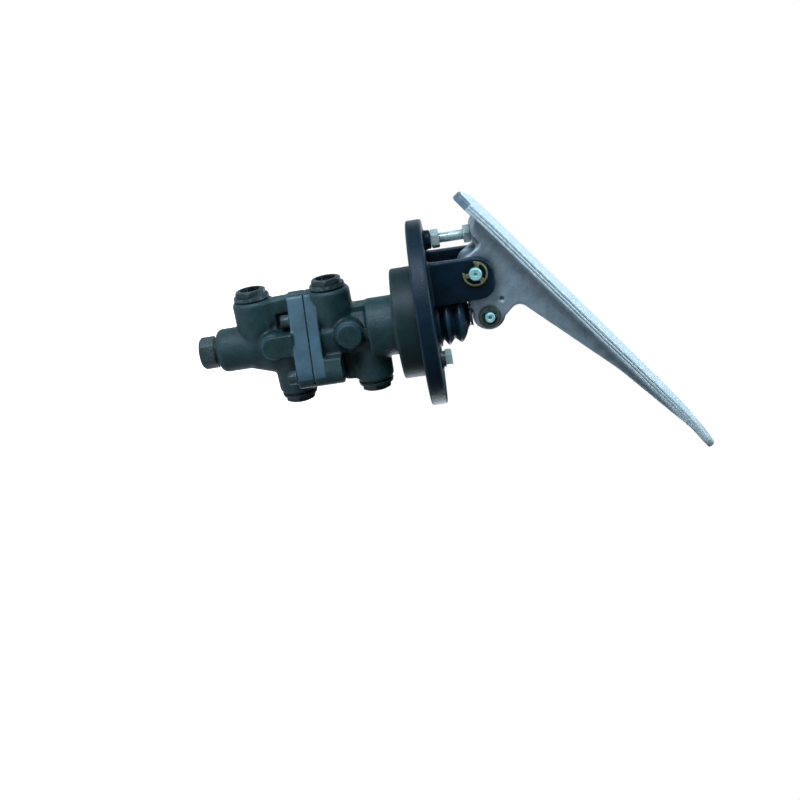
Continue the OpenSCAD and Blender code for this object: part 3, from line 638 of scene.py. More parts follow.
def ring_faces(sides: int, count: int) -> list[tuple[int, ...]]:
    """Faces of a solid whose closed outline is repeated round an axis.

    Args:
        sides: Number of steps round the axis.
        count: Number of points in the outline.

    Returns:
        Corner numbers of each face.
    """
    return [(i * count + j, ((i + 1) % sides) * count + j,
             ((i + 1) % sides) * count + (j + 1) % count, i * count + (j + 1) % count)
            for i in range(sides) for j in range(count)]


def lathe(profile: Sequence[Sequence[float]], sides: int) -> bpy.types.Mesh:
    """Turns a closed profile about the Z axis.

    Args:
        profile: Closed outline of radius and height in millimetres.
        sides: Number of steps round the axis.

    Returns:
        The turned solid.
    """
    turns = [2 * math.pi * i / sides for i in range(sides)]
    vertices = [(r * math.cos(a), r * math.sin(a), z) for a in turns for r, z in profile]
    return mesh_from(vertices, ring_faces(sides, len(profile)))


def curve_through(points: Sequence[Sequence[float]], steps: int) -> list[tuple[float, float]]:
    """Draws a smooth line through points.

    Args:
        points: Points in the plane.
        steps: Pieces between two of them.

    Returns:
        Points of the smooth line.
    """
    known = [Vector(p) for p in (points[0], *points, points[-1])]
    line = []
    for a, b, c, d in zip(known, known[1:], known[2:], known[3:]):
        for i in range(steps):
            t = i / steps
            p = 0.5 * (2 * b + (c - a) * t + (2 * a - 5 * b + 4 * c - d) * t * t
                       + (3 * b - a - 3 * c + d) * t ** 3)
            line.append((p.x, p.y))
    line.append(tuple(known[-1]))
    return line


def rounded(corners: Sequence[Sequence[float]], steps: int) -> list[tuple[float, float]]:
    """Rounds the corners of an outline.

    Args:
        corners: Corners as x, y and radius in millimetres.
        steps: Pieces in each rounded corner.

    Returns:
        Points of the outline.
    """
    line: list[tuple[float, float]] = []
    previous, following = [corners[-1], *corners[:-1]], [*corners[1:], corners[0]]
    for before, corner, after in zip(previous, corners, following):
        q, radius = Vector(corner[:2]), corner[2]
        u = (Vector(before[:2]) - q).normalized()
        v = (Vector(after[:2]) - q).normalized()
        half = math.acos(max(-1.0, min(1.0, u.dot(v)))) / 2
        centre = q + (u + v).normalized() * radius / math.sin(half)
        a, b = (q + w * radius / math.tan(half) - centre for w in (u, v))
        start = math.atan2(a.y, a.x)
        turn = (math.atan2(b.y, b.x) - start + math.pi) % (2 * math.pi) - math.pi
        line += [(centre.x + radius * math.cos(start + turn * i / steps),
                  centre.y + radius * math.sin(start + turn * i / steps)) for i in range(steps + 1)]
    return line


def hex_radius(across: float, angle: float) -> float:
    """Distance from a hexagon's middle to its side.

    Args:
        across: Size across the flats.
        angle: Direction in radians, from the middle of a side.

    Returns:
        The distance, in the units of across.
    """
    return across / 2 / math.cos((angle + math.pi / 6) % (math.pi / 3) - math.pi / 6)


def hex_block(across: float, low: float, high: float, turn: float, bore: float,
              both_ends: bool) -> bpy.types.Mesh:
    """Hexagon head or nut along Z, with the turned chamfer that cuts its corners.

    Args:
        across: Size across the flats in millimetres.
        low: Height of its lower face in millimetres.
        high: Height of its upper face in millimetres.
        turn: Direction of a side's middle in degrees.
        bore: Radius of its bore in millimetres.
        both_ends: Whether the lower end is chamfered too.

    Returns:
        The solid.
    """
    seat = across / 2 * HEX_FLAT
    start = math.radians(turn)
    vertices = []
    for i in range(HEX_STEPS):
        a = 2 * math.pi * i / HEX_STEPS
        reach = hex_radius(across, a)
        cut = (reach - seat) * math.tan(HEX_CHAMFER)
        ring = [(bore, high), (seat, high), (reach, high - cut),
                (reach, low + (cut if both_ends else 0.0)), (seat, low), (bore, low)]
        vertices += [(r * math.cos(a + start), r * math.sin(a + start), z) for r, z in ring]
    return mesh_from(vertices, ring_faces(HEX_STEPS, len(vertices) // HEX_STEPS))


def thread(radius: float, pitch: float, low: float, high: float, core: float) -> bpy.types.Mesh:
    """Screw thread along Z on a solid core.

    Args:
        radius: Outer radius in millimetres.
        pitch: Rise of one turn in millimetres.
        low: Height where the thread starts.
        high: Height where it ends.
        core: Radius of the core in millimetres.

    Returns:
        The threaded rod.
    """
    steps = 24
    turns = (high - low) / pitch
    count = int(turns * steps)
    # The ridge's outline: radius, and height as a share of the pitch
    ridge = [(core, 0.0), (radius, 0.38), (radius, 0.55), (core, 0.93)]
    vertices = []
    for i in range(count + 1):
        a = 2 * math.pi * i / steps
        lift = low + pitch * (i / steps - 0.5)
        taper = min(1.0, i / steps, (count - i) / steps)
        for r, share in ridge:
            height = min(max(lift + share * pitch, low), high)
            reach = core + (r - core) * taper
            vertices.append((reach * math.cos(a), reach * math.sin(a), height))
    faces = [(4 * i + j, 4 * i + j + 1, 4 * i + j + 5, 4 * i + j + 4)
             for i in range(count) for j in range(3)]
    faces += [(0, 1, 2, 3), tuple(4 * count + j for j in (3, 2, 1, 0))]
    # The core's rod is a hair thicker than the ridge's foot, so that no gap shows between them
    rod = core + 0.02
    body = lathe([(CENTRE, low), (rod, low), (rod, high), (CENTRE, high)], 32)
    return joined([mesh_from(vertices, faces), body])


def joined(meshes: Sequence[bpy.types.Mesh]) -> bpy.types.Mesh:
    """Joins meshes into one.

    Args:
        meshes: The meshes, in one frame.

    Returns:
        One mesh that holds them all.
    """
    work = bmesh.new()
    for mesh in meshes:
        work.from_mesh(mesh)
    result = bpy.data.meshes.new("joined")
    work.to_mesh(result)
    work.free()
    return result


def plate_to_frame(s: float, y: float, n: float) -> tuple[float, float, float]:
    """Turns a point of the pedal plate's frame into the CAD's frame.

    Args:
        s: Distance along the plate in millimetres.
        y: Distance across it.
        n: Height above its underside.

    Returns:
        The point in millimetres.
    """
    return (HEEL_POINT[0] + s * PLATE_ALONG[0] + n * PLATE_UP[0], y,
            HEEL_POINT[1] + s * PLATE_ALONG[2] + n * PLATE_UP[2])


def plate_plan(inset: float) -> list[tuple[float, float]]:
    """Outline of the pedal plate, drawn in from its edge.

    Args:
        inset: Distance from the edge in millimetres.

    Returns:
        Points of s and y in millimetres.
    """
    w, t = PEDAL_WIDTH / 2 - inset, TOE_WIDTH / 2 - inset
    end = PEDAL_LENGTH - inset
    # The slanted cuts are drawn in too, by about as much as the sides
    near_cut, far_cut = HEEL_CUT - inset * 0.6, inset * 1.2 + FAR_CUT
    near_round, far_round, waist_round, toe_round = 1.5, 3.0, 60.0, t * 0.8
    return rounded([
        (inset, -w + near_cut, near_round), (inset + near_cut, -w, near_round),
        (WAIST, -w, waist_round), (end, -t, toe_round), (end, t, toe_round), (WAIST, w, waist_round),
        (far_cut, w, far_round), (inset, FAR_CUT_Y, far_round),
    ], 8)


def half_width(s: float) -> float:
    """Half of the pedal plate's width.

    Args:
        s: Distance along the plate in millimetres.

    Returns:
        Distance from its middle to its edge.
    """
    share = max(0.0, (s - WAIST) / (PEDAL_LENGTH - WAIST))
    return (PEDAL_WIDTH + (TOE_WIDTH - PEDAL_WIDTH) * share) / 2


def bent(mesh: bpy.types.Mesh, share: float) -> bpy.types.Mesh:
    """Bends a mesh of the pedal down towards its heel and its toe, as the plate is.

    Args:
        mesh: The mesh, which is changed.
        share: 1 bends it and -1 straightens it.

    Returns:
        The same mesh.
    """
    s_axis = Vector(PLATE_ALONG)
    heel_steps, toe_steps = 4, 6
    stations = [HEEL_BEND * i / heel_steps for i in range(1, heel_steps + 1)]
    stations += [PEDAL_LENGTH - TOE_BEND * i / toe_steps for i in range(1, toe_steps + 1)]
    work = bmesh.new()
    work.from_mesh(mesh)
    for s in stations:
        bmesh.ops.bisect_plane(work, geom=work.verts[:] + work.edges[:] + work.faces[:], dist=1e-7,
                               plane_co=Vector(plate_to_frame(s, 0, 0)) * MM, plane_no=s_axis)
    work.to_mesh(mesh)
    work.free()
    points = points_of(mesh)
    s = (points - np.array([HEEL_POINT[0], 0, HEEL_POINT[1]]) * MM) @ np.array(s_axis) / MM
    drop = (HEEL_DROP * np.clip(1 - s / HEEL_BEND, 0, BEND_OVERRUN) ** 2
            + TOE_DROP * np.clip(1 - (PEDAL_LENGTH - s) / TOE_BEND, 0, BEND_OVERRUN) ** 2)
    set_points(mesh, points - share * np.outer(drop * MM, np.array(PLATE_UP)))
    return mesh


def mark_faces(mesh: bpy.types.Mesh, chosen: np.ndarray, index: int) -> None:
    """Gives some faces of a mesh another of its materials.

    Args:
        mesh: The mesh.
        chosen: Tells for each face whether it changes.
        index: Number of the other material.
    """
    for i in np.nonzero(chosen)[0]:
        mesh.polygons[i].material_index = index


@dataclass
class Workshop:
    """Turns meshes into pieces with a finish, a body and the CAD node that they stand for."""

    paints: Paintbox

    def piece(self, name: str, mesh: bpy.types.Mesh, finish: Finish, body: str, slot: str,
              *nodes: str) -> bpy.types.Object:
        """Makes one piece of the object.

        Args:
            name: Name of the piece.
            mesh: Its mesh.
            finish: Its finish.
            body: CAD body that it moves with.
            slot: Material slot of the record; not used.
            nodes: CAD nodes that it stands for.

        Returns:
            The piece.
        """
        mesh.materials.clear()
        mesh.materials.append(self.paints.get(finish))
        made = new_object(name, mesh)
        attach(made, body)
        if nodes:
            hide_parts(*nodes)
        log.info("%s: %s, %d faces", name, finish.surface.value, len(mesh.polygons))
        return made


def body_of_node(node: str) -> str:
    """Finds the body that holds a CAD node.

    Args:
        node: Name of the node.

    Returns:
        Name of its body.
    """
    groups = frame["record"]["behaviour"]["bodies"]
    return next(body for body, nodes in groups.items() if node in nodes)


def slot_of_node(node: str) -> str:
    """Finds the record's material slot of a CAD node.

    Args:
        node: Name of the node.

    Returns:
        Name of its slot.
    """
    return next(p["material_slot"] for p in frame["record"]["subparts"] if p["node"] == node)


@dataclass
class Castings:
    """The black base plate and the two grey-green housings."""

    shop: Workshop
    voxel: float = 0.76
    housing_fillet: float = 0.9
    plate_fillet: float = 0.8
    soften: int = 1
    # How near to height 0 a point lies on the machined face there
    flat_reach: float = 0.3
    # Faces that get the flange's lighter paint, a painted highlight: how straight they look outwards, how
    # near they are to the flange's side, and how far above its lower edge they start
    side_facing: float = 0.86
    side_reach: float = 0.9
    side_start: float = 0.4
    # How far inside the collar's radius its painted shade starts
    collar_depth: float = 3.0

    def build(self) -> None:
        """Makes the three castings."""
        self.turned_parts(self.casting("upper_housing", self.housing_fillet, self.on_flat))
        self.turned_parts(self.casting("lower_housing", self.housing_fillet, None))
        self.casting("base_plate", self.plate_fillet, self.on_flat)

    def on_flat(self, points: np.ndarray) -> np.ndarray:
        """Finds the points on the machined face at height 0.

        Args:
            points: One row for each point, in millimetres.

        Returns:
            Whether each point lies on it.
        """
        return np.abs(points[:, 2]) < self.flat_reach

    def turned_parts(self, casting: bpy.types.Object) -> None:
        """Gives the sides of a housing's flange a lighter copy of the paint as painted highlight, and its
        turned collar a darker copy as painted shade.

        Args:
            casting: The housing.
        """
        mesh = casting.data
        mesh.materials.append(self.shop.paints.get(FLANGE_HIGHLIGHT_PAINT))
        count = len(mesh.polygons)
        normals, centres = np.zeros(count * 3), np.zeros(count * 3)
        mesh.polygons.foreach_get("normal", normals)
        mesh.polygons.foreach_get("center", centres)
        normals, centres = normals.reshape(-1, 3), centres.reshape(-1, 3) / MM
        side = np.array(FLANGE_SIDE)
        # Painted shade: the turned collar gets a darker copy of the paint
        mesh.materials.append(self.shop.paints.get(COLLAR_SHADE_PAINT))
        outside = np.hypot(centres[:, 0], centres[:, 1]) > COLLAR_RADIUS - self.collar_depth
        mark_faces(mesh, (centres[:, 2] > COLLAR_BOTTOM) & outside, 2)
        # Painted highlight: the slanted sides of the flange get the lighter copy of the paint
        for sign in (-1, 1):
            facing = normals @ (side * (1, sign, 1))
            level = centres @ (side * (1, sign, 1))
            mark_faces(mesh, (facing > self.side_facing)
                       & (np.abs(level - FLANGE_REACH) < self.side_reach)
                       & (centres[:, 2] > FLANGE_BOTTOM + self.side_start)
                       & (centres[:, 2] < FLANGE_TOP), 1)

    def casting(self, node: str, fillet: float,
                machined: Optional[Callable[[np.ndarray], np.ndarray]]) -> bpy.types.Object:
        """Makes one casting from its CAD solid.

        Args:
            node: CAD node.
            fillet: Radius of its inner corners in millimetres.
            machined: Tells which points lie on machined faces.

        Returns:
            The casting.
        """
        skin = cast_skin(welded_copy(node), self.voxel, fillet, self.soften, machined)
        slot = slot_of_node(node)
        return self.shop.piece(node + "_casting", skin, FINISH_OF_SLOT[slot], body_of_node(node),
                               slot, node)


@dataclass
class PedalCasting:
    """The pedal: a tread plate with a lip and raised points, on two webs."""

    shop: Workshop
    # Raised points: where their rows start and how far before the toe they end, the margin to the
    # sides, and each point's foot and tip as shares of half a pitch and of half its foot
    knurl_start: float = 118.0
    knurl_stop: float = 20.0
    knurl_margin: float = 4.6
    knurl_pitch: float = 3.7
    knurl_height: float = 0.5
    knurl_sink: float = 0.1
    knurl_foot: float = 0.96
    knurl_tip: float = 0.45
    # Heel end that was ground: how straight a face looks back, and how far from the heel it lies
    ground_facing: float = -0.3
    ground_reach: float = 25.0
    # The grooves of the lip: height above which there are none, the way in which they run out at
    # the heel, and how far before the toe and in what way they run out there
    groove_top: float = 5.6
    groove_heel_way: float = 1.2
    groove_stop: float = 62.0
    groove_toe_way: float = 26.0
    # How much the rounded rim draws in at the toe
    toe_inset: float = 1.8
    # Webs: skin, fillet, and the height in the plate up to which they are kept
    web_voxel: float = 0.85
    web_fillet: float = 0.55
    web_top: float = 2.4
    # How far the slab on the webs stands back from the tread's sides, how much further at its
    # rounded toe, and how far from its two ends
    slab_side: float = 1.2
    slab_toe_side: float = 1.4
    slab_heel: float = 1.4
    slab_toe: float = 2.8
    # Blind hole in the near web: middle as x and z, radius, depth, and the side where it is
    hole: tuple[float, float] = (-12.5, 66.1)
    hole_radius: float = 2.2
    hole_depth: float = 2.4
    hole_side: float = -14.0

    def build(self) -> None:
        """Makes the tread and the webs, which are one casting."""
        tread = self.shop.piece("pedal_tread", self.tread(), TREAD_ALUMINIUM, "pedal", "cast_aluminium",
                                "pedal")
        # The heel's end is ground, and no boot rubs it bright
        tread.data.materials.append(self.shop.paints.get(GROUND_ALUMINIUM))
        s_axis = Vector(PLATE_ALONG)
        limit = (HEEL_POINT[0] + self.ground_reach) * MM
        for polygon in tread.data.polygons:
            if polygon.normal.dot(s_axis) < self.ground_facing and polygon.center.x < limit:
                polygon.material_index = 1
        self.shop.piece("pedal_webs", self.webs(), CAST_ALUMINIUM, "pedal", "cast_aluminium", "pedal")

    def tread(self) -> bpy.types.Mesh:
        """Makes the plate with its stepped lip and the raised points.

        Returns:
            The mesh.
        """
        # Section of the rim with its two grooves: distance drawn in, and height
        rings = [(0.8, 0.0), (0.2, 0.2), (0.0, 0.6), (0.0, 1.4), (0.3, 1.7), (0.7, 1.85), (0.7, 2.15),
                 (0.3, 2.3), (0.1, 2.6), (0.1, 3.6), (0.4, 3.9), (0.9, 4.05), (0.9, 4.35), (0.6, 4.5),
                 (0.5, 4.8), (0.5, 5.7), (0.8, 6.25), (1.4, 6.5)]
        vertices: list[tuple[float, float, float]] = []
        middle = PEDAL_THICKNESS / 2
        for inset, n in rings:
            for (s, y), (inner_s, inner_y) in zip(plate_plan(0), plate_plan(1)):
                # The grooves of the lip run out at the flat, ground heel end and before the rounded toe
                heel, plain = 1.0, 0.0
                if n <= self.groove_top:
                    heel = min(1.0, max(0.0, (s - HEEL_CUT) / self.groove_heel_way))
                    plain = min(1.0, max(0.0, (s - PEDAL_LENGTH + self.groove_stop)
                                         / self.groove_toe_way))
                toe = min(1.0, max(0.0, (s - PEDAL_LENGTH + TOE_ROUND) / TOE_ROUND_WAY))
                depth = (inset * heel * (1 - max(toe, plain))
                         + toe * self.toe_inset * ((n - middle) / middle) ** 4)
                vertices.append(plate_to_frame(s + (inner_s - s) * depth, y + (inner_y - y) * depth, n))
        count = len(plate_plan(0))
        faces: list[tuple[int, ...]] = [
            (i * count + j, i * count + (j + 1) % count,
             (i + 1) * count + (j + 1) % count, (i + 1) * count + j)
            for i in range(len(rings) - 1) for j in range(count)]
        faces.append(tuple(range(count)))
        faces.append(tuple((len(rings) - 1) * count + j for j in range(count)))
        plate = bent(mesh_from(vertices, faces), 1)
        smooth_shaded(plate, 40)
        return joined([plate, bent(self.points(), 1)])

    def points(self) -> bpy.types.Mesh:
        """Makes the rows of raised points on the tread.

        Returns:
            The mesh.
        """
        half = self.knurl_pitch / 2 * self.knurl_foot
        tip_half = half * self.knurl_tip
        base, tip = PEDAL_THICKNESS - self.knurl_sink, PEDAL_THICKNESS + self.knurl_height
        vertices: list[tuple[float, float, float]] = []
        faces: list[tuple[int, ...]] = []
        rows = int((PEDAL_LENGTH - self.knurl_stop - self.knurl_start) / self.knurl_pitch)
        for row in range(rows):
            s = self.knurl_start + (row + 0.5) * self.knurl_pitch
            reach = half_width(s) - self.knurl_margin
            columns = int(2 * reach / self.knurl_pitch)
            for column in range(columns):
                y = (column - (columns - 1) / 2) * self.knurl_pitch
                first = len(vertices)
                for wide, n in ((half, base), (tip_half, tip)):
                    for a, b in ((-wide, -wide), (wide, -wide), (wide, wide), (-wide, wide)):
                        vertices.append(plate_to_frame(s + a, y + b, n))
                faces += [tuple(first + k for k in f) for f in (
                    (0, 3, 2, 1), (4, 5, 6, 7), (0, 1, 5, 4), (1, 2, 6, 5), (2, 3, 7, 6), (3, 0, 4, 7))]
        return mesh_from(vertices, faces)

    def webs(self) -> bpy.types.Mesh:
        """Makes the webs from the CAD solid, with cast fillets under the plate.

        Returns:
            The mesh.
        """
        work = bmesh.new()
        work.from_mesh(bent(welded_copy("pedal"), -1))
        bmesh.ops.bisect_plane(work, geom=work.verts[:] + work.edges[:] + work.faces[:], dist=1e-6,
                               plane_co=Vector(plate_to_frame(0, 0, self.web_top)) * MM,
                               plane_no=Vector(PLATE_UP), clear_outer=True)
        bmesh.ops.holes_fill(work, edges=[e for e in work.edges if e.is_boundary])
        below = bpy.data.meshes.new("below")
        work.to_mesh(below)
        work.free()
        skin = cast_skin(below, self.web_voxel, self.web_fillet, 0)
        points = points_of(skin)
        s_axis = np.array(PLATE_ALONG)
        local = points - np.array([HEEL_POINT[0], 0, HEEL_POINT[1]]) * MM
        s, n = local @ s_axis / MM, local @ np.array(PLATE_UP) / MM
        # The rim of the slab is drawn in, so that only the tread's own crisp rim shows
        slab = n > 0.02
        toe = np.clip((s - PEDAL_LENGTH + TOE_ROUND) / TOE_ROUND_WAY, 0, 1)
        limit = (np.array([half_width(v) for v in s]) - self.slab_side - self.slab_toe_side * toe) * MM
        points[:, 1] = np.where(slab, np.clip(points[:, 1], -limit, limit), points[:, 1])
        first, last = self.slab_heel, PEDAL_LENGTH - self.slab_toe
        push = np.where(slab & (s < first), first - s, 0) + np.where(slab & (s > last), last - s, 0)
        points += np.outer(push * MM, s_axis)
        # A small blind hole in the near web, seen in the photograph
        reach = np.hypot(points[:, 0] / MM - self.hole[0],
                         points[:, 2] / MM - self.hole[1]) / self.hole_radius
        inside = (points[:, 1] < self.hole_side * MM) & (reach < 1)
        points[:, 1] += np.where(inside, self.hole_depth * MM * (1 - reach ** 2), 0)
        set_points(skin, points)
        return bent(skin, 1)


@dataclass
class Boot:
    """The folded rubber boot."""

    shop: Workshop
    wall: float = 1.4
    # How much lower the inner side lies than the outer one, and between what heights
    inner_drop: float = 0.5
    folds: tuple[float, float] = (14.0, 39.0)

    def build(self) -> None:
        """Makes the boot."""
        outer = curve_through([
            (20.6, 12.7), (20.7, 15.4), (19.0, 16.4), (18.4, 17.2), (21.0, 19.0), (22.7, 20.4),
            (22.4, 21.8), (20.4, 23.6), (18.7, 25.2), (18.6, 26.6), (20.2, 28.4), (21.8, 30.2),
            (21.7, 31.6), (19.6, 33.6), (16.4, 35.6), (12.6, 37.2), (10.4, 38.4), (9.9, 39.5),
        ], 5)
        low, high = self.folds
        inner = [(r - self.wall, z - (self.inner_drop if low < z < high else 0.0))
                 for r, z in reversed(outer)]
        mesh = lathe([*outer, *inner], 96)
        smooth_shaded(mesh, 60)
        boot = self.shop.piece("rubber_boot", mesh, BOOT_RUBBER, "housing", "boot_rubber", "boot")
        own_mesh(boot)


@dataclass
class Springs:
    """The coil springs inside the valve."""

    shop: Workshop

    def build(self) -> None:
        """Makes the springs. Each rides on what its lower end stands on."""
        for node, rides_on, joint, shortening in (
            ("outer_spring", "upper_spool", "plunger_slide", CONTROL_SPRING_TRAVEL),
            ("inner_spring", "upper_spool", "plunger_slide", CONTROL_SPRING_TRAVEL),
            ("return_spring", "lower_housing", "spool_slide", RETURN_SPRING_TRAVEL),
        ):
            mesh = welded_copy(node)
            smooth_shaded(mesh, 60)
            heights = points_of(mesh)[:, 2]
            spring = self.shop.piece("coiled_" + node, mesh, FINISH_OF_SLOT[slot_of_node(node)],
                                     body_of_node(rides_on), slot_of_node(node), node)
            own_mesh(spring)


@dataclass
class Hardware:
    """Screws, nuts, pins, clips and plugs."""

    shop: Workshop
    # Inner radius of the pivot clips' ring, how near to it a point lies on it, and how much it widens
    clip_inner: float = 7.6
    clip_reach: float = 0.3
    clip_narrowing: float = 0.55
    stop_screw_x: float = -63.8
    plate_screw_circle: float = 37.0

    def build(self) -> None:
        """Makes the hardware that shows, and breaks the edges of the rest."""
        self.stop_screw()
        self.plate_screws()
        self.pin("pivot_pin", PIVOT, 5.0, 29.0)
        self.pin("roller_pin", ROLLER, 4.0, 22.5)
        for node, width in (
            ("heel_plug_upper", 0.25), ("heel_plug_lower", 0.25), ("toe_plug_upper", 0.25),
            ("toe_plug_lower", 0.25), ("end_plug", 0.35), ("housing_screws", 0.25),
            ("pivot_clips", 0.18), ("roller_clips", 0.18), ("roller_washers", 0.2),
            ("plate_washers", 0.25), ("plate_spring_washers", 0.2), ("boot_ring", 0.3),
            ("roller", 0.3),
        ):
            slot = slot_of_node(node)
            finish = FINISH_OF_NODE.get(node, FINISH_OF_SLOT[slot])
            mesh = bevelled(welded_copy(node), width)
            if node == "pivot_clips":
                self.narrow_ring(mesh)
            self.shop.piece(node + "_edged", mesh, finish, body_of_node(node), slot, node)

    def narrow_ring(self, mesh: bpy.types.Mesh) -> None:
        """Narrows the ring of the pivot clips from inside, as it is in the photograph.

        Args:
            mesh: The clips, which are changed.
        """
        points = points_of(mesh)
        axis = np.array(PIVOT) * MM
        across = points[:, (0, 2)] - axis
        radius = np.hypot(across[:, 0], across[:, 1])
        ring = np.abs(radius - self.clip_inner * MM) < self.clip_reach * MM
        across[ring] *= ((radius[ring] + self.clip_narrowing * MM) / radius[ring])[:, None]
        points[:, (0, 2)] = across + axis
        set_points(mesh, points)

    def pin(self, node: str, axis: tuple[float, float], radius: float, half: float) -> None:
        """Makes a pin along Y with chamfered ends, centre holes and clip grooves.

        Args:
            node: CAD node that it stands for.
            axis: Its axis as x and z in millimetres.
            radius: Its radius.
            half: Half of its length.
        """
        # One end from its middle outwards: radius, and depth behind the end
        end = [(CENTRE, 1.2), (0.9, 1.1), (1.4, 0.3), (1.65, 0.08), (radius - 1.0, 0.06),
               (radius - 0.75, 0.0), (radius - 0.08, 0.7), (radius, 0.95), (radius, 2.4),
               (radius * 0.8, 2.4), (radius * 0.8, 3.8), (radius, 3.8)]
        outline = [(r, half - depth) for r, depth in end]
        outline += [(r, depth - half) for r, depth in reversed(end)]
        mesh = lathe(outline, 48)
        mesh.transform(Matrix.Translation((axis[0] * MM, 0, axis[1] * MM))
                       @ Matrix.Rotation(math.pi / 2, 4, "X"))
        smooth_shaded(mesh, 30)
        self.shop.piece("turned_" + node, mesh, BLUE_ZINC, "housing" if node == "pivot_pin" else "pedal",
                        "zinc_steel", node)

    def stop_screw(self) -> None:
        """Makes the stop screw with its thread, and its nut."""
        place = Matrix.Translation((self.stop_screw_x * MM, 0, 0))
        head = hex_block(M8_ACROSS, 18.4, 24.8, 30.0, CENTRE, True)
        smooth_shaded(head, 25)
        shank = thread(3.95, 1.25, 24.6, 60.2, 3.7)
        smooth_shaded(shank, 35)
        screw = joined([head, shank])
        screw.transform(place)
        self.shop.piece("threaded_stop_screw", screw, ZINC, "pedal", "zinc_steel", "stop_screw")
        nut = hex_block(M8_ACROSS, 43.5, 49.25, 42.0, 4.05, True)
        smooth_shaded(nut, 25)
        nut.transform(place)
        self.shop.piece("chamfered_stop_nut", nut, ZINC, "pedal", "zinc_steel", "stop_nut")

    def plate_screws(self) -> None:
        """Makes the three screws in the base plate."""
        parts = []
        for angle, turn in ((75.0, 8.0), (-45.0, 20.0), (195.0, 30.0)):
            x, y = (self.plate_screw_circle * f(math.radians(angle)) for f in (math.cos, math.sin))
            head = hex_block(M8_ACROSS, 16.12, 21.4, turn, CENTRE, False)
            shank = lathe([(CENTRE, -14.9), (3.6, -14.9), (4.0, -14.2), (4.0, 14.3),
                           (CENTRE, 14.3)], 40)
            for mesh in (head, shank):
                mesh.transform(Matrix.Translation((x * MM, y * MM, 0)))
                parts.append(mesh)
        screws = joined(parts)
        smooth_shaded(screws, 25)
        self.shop.piece("chamfered_plate_screws", screws, ZINC, "housing", "zinc_steel", "plate_screws")


@dataclass
class CarriedOver:
    """CAD nodes that keep their own mesh and only get a finish."""

    shop: Workshop

    def build(self) -> None:
        """Gives every CAD node its finish."""
        for node, piece in frame["nodes"].items():
            slot = slot_of_node(node)
            material = self.shop.paints.get(FINISH_OF_NODE.get(node, FINISH_OF_SLOT[slot]))
            if not piece.material_slots:
                piece.data.materials.append(material)
            for holder in piece.material_slots:
                holder.material = material


@dataclass(frozen=True)
class View:
    """The photograph's camera, in millimetres and pixels of an 800 by 800 image."""

    place: tuple[float, float, float] = (-225.0, -760.0, 30.0)
    target: tuple[float, float, float] = (65.0, 0.0, -27.0)
    focal_pixels: float = 985.0
    image_pixels: float = 800.0
    roll_degrees: float = 8.4

    def build(self) -> None:
        """Makes the camera, with the valve's axis close to level in the image."""
        data = bpy.data.cameras.new("photo_camera")
        data.sensor_fit = "HORIZONTAL"
        data.sensor_width = 36.0
        data.lens = self.focal_pixels / self.image_pixels * data.sensor_width
        data.clip_start, data.clip_end = 0.01, 50
        camera = bpy.data.objects.new("photo_camera", data)
        bpy.context.scene.collection.objects.link(camera)
        back = (Vector(self.place) - Vector(self.target)).normalized()
        right = Vector((0, 0, 1))
        right = (right - back * right.dot(back)).normalized()
        right = Matrix.Rotation(math.radians(-self.roll_degrees), 3, back) @ right
        up = back.cross(right)
        turned = Matrix((right, up, back)).transposed().to_4x4()
        camera.matrix_world = Matrix.Translation(Vector(self.place) * MM) @ turned
        bpy.context.scene.camera = camera


@dataclass(frozen=True)
class Lamp:
    """A soft box. Its place and size are in metres."""

    name: str
    place: tuple[float, float, float]
    size: float
    power: float
    colour: str

    def build(self) -> None:
        """Makes the lamp, aimed at the object."""
        data = bpy.data.lights.new(self.name, "AREA")
        data.shape = "DISK"
        data.size = self.size
        data.energy = self.power
        data.color = srgb(self.colour)[:3]
        lamp = bpy.data.objects.new(self.name, data)
        lamp.visible_camera = False
        lamp.location = self.place
        aim = Vector((0, 0, 0.02)) - Vector(self.place)
        lamp.rotation_euler = aim.to_track_quat("-Z", "Y").to_euler()
        bpy.context.scene.collection.objects.link(lamp)


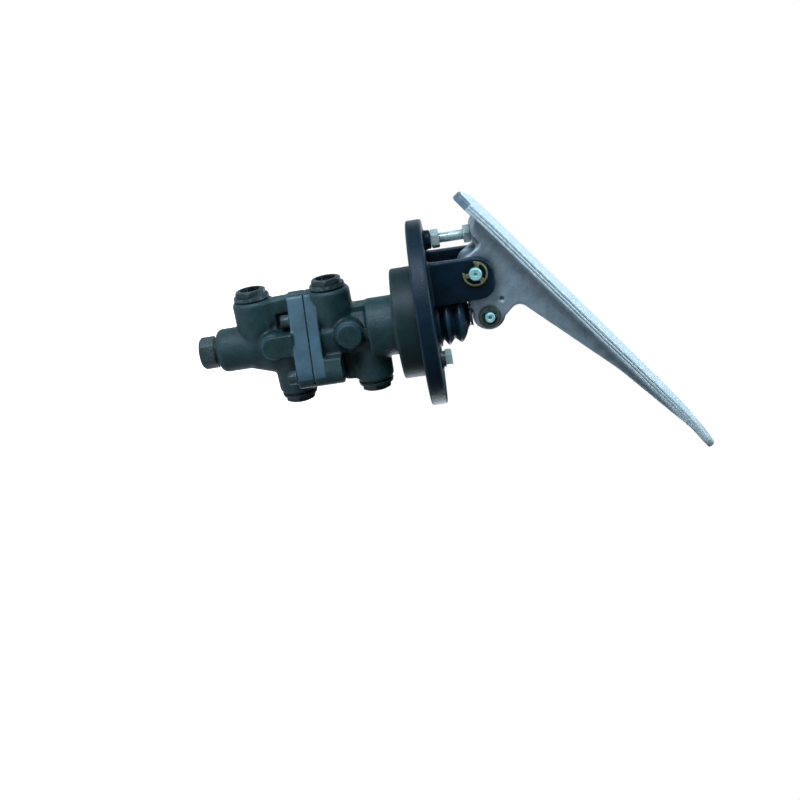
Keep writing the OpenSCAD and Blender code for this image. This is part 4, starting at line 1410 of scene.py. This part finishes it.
@dataclass
class Studio:
    """Plain pale floor, white surroundings and soft boxes. Sizes are in metres."""

    floor_z: float = -0.30
    floor_reach: float = 6.0
    # Strength of the surroundings as a light, where they are brightest and dimmest
    bright: float = 0.20
    dim: float = 0.03

    def build(self) -> None:
        """Makes the floor, the world and the lamps."""
        self.floor()
        self.world()
        for lamp in (
            Lamp("key", (-1.25, -0.55, -0.05), 0.5, 13.5, "#dcedff"),
            Lamp("front", (-0.95, -1.3, -0.5), 0.3, 1.6, "#e6f2ff"),
            Lamp("top", (-0.5, -0.3, 1.4), 0.7, 13.0, "#e6f6ff"),
            Lamp("back", (-0.2, 1.5, 0.55), 1.5, 7.0, "#e2f3ff"),
            Lamp("rear", (1.1, 0.9, 0.1), 0.8, 6.0, "#e6f2ff"),
        ):
            lamp.build()
        bpy.context.scene.view_settings.view_transform = "Standard"

    def floor(self) -> None:
        """Makes the floor."""
        mesh = bpy.data.meshes.new("floor")
        far = self.floor_reach
        corners = [(x, y, self.floor_z) for x, y in ((-far, -far), (far, -far), (far, far), (-far, far))]
        mesh.from_pydata(corners, [], [(0, 1, 2, 3)])
        material = bpy.data.materials.new("pale_floor")
        material.use_nodes = True
        tree = material.node_tree
        tree.nodes.clear()
        shader = add_node(tree, "ShaderNodeBsdfPrincipled", {
            "Base Color": srgb("#f2f3f4"), "Roughness": 0.8, "Specular IOR Level": 0.1,
        })
        # A weak glow that only the eye sees keeps the far floor as pale as the near one
        glow = add_node(tree, "ShaderNodeEmission", {"Color": srgb("#ffffff")},
                        {"Strength": add_node(tree, "ShaderNodeLightPath").outputs["Is Camera Ray"]})
        both = add_node(tree, "ShaderNodeAddShader", None, {0: shader.outputs["BSDF"], 1: glow.outputs[0]})
        output = add_node(tree, "ShaderNodeOutputMaterial")
        tree.links.new(both.outputs[0], output.inputs["Surface"])
        mesh.materials.append(material)
        new_object("floor", mesh)

    def world(self) -> None:
        """Makes the surroundings: white to the eye, softer as a light."""
        world = bpy.data.worlds.new("white_room")
        world.use_nodes = True
        tree = world.node_tree
        tree.nodes.clear()
        seen = add_node(tree, "ShaderNodeBackground", {"Color": srgb("#ffffff"), "Strength": 1.0})
        # The room is brighter on the side that is up in the photograph, which is -X
        place = add_node(tree, "ShaderNodeTexCoord").outputs["Generated"]
        x = add_node(tree, "ShaderNodeSeparateXYZ", None, {0: place}).outputs["X"]
        glow = add_node(tree, "ShaderNodeMapRange", {
            "From Min": -1.0, "From Max": 1.0, "To Min": self.bright, "To Max": self.dim,
        }, {"Value": x}).outputs["Result"]
        lit = add_node(tree, "ShaderNodeBackground", {"Color": srgb("#dcebf8")}, {"Strength": glow})
        path = add_node(tree, "ShaderNodeLightPath")
        mixed = add_node(tree, "ShaderNodeMixShader", None, {
            0: path.outputs["Is Camera Ray"], 1: lit.outputs[0], 2: seen.outputs[0]})
        output = add_node(tree, "ShaderNodeOutputWorld")
        tree.links.new(mixed.outputs[0], output.inputs["Surface"])
        bpy.context.scene.world = world


def main() -> None:
    """Builds the scene round the frame."""
    logging.basicConfig(level=logging.INFO, format="%(name)s %(message)s")
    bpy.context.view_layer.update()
    shop = Workshop(Paintbox())
    CarriedOver(shop).build()
    Castings(shop).build()
    PedalCasting(shop).build()
    Boot(shop).build()
    Springs(shop).build()
    Hardware(shop).build()
    View().build()
    Studio().build()


if __name__ == "__main__":
    main()
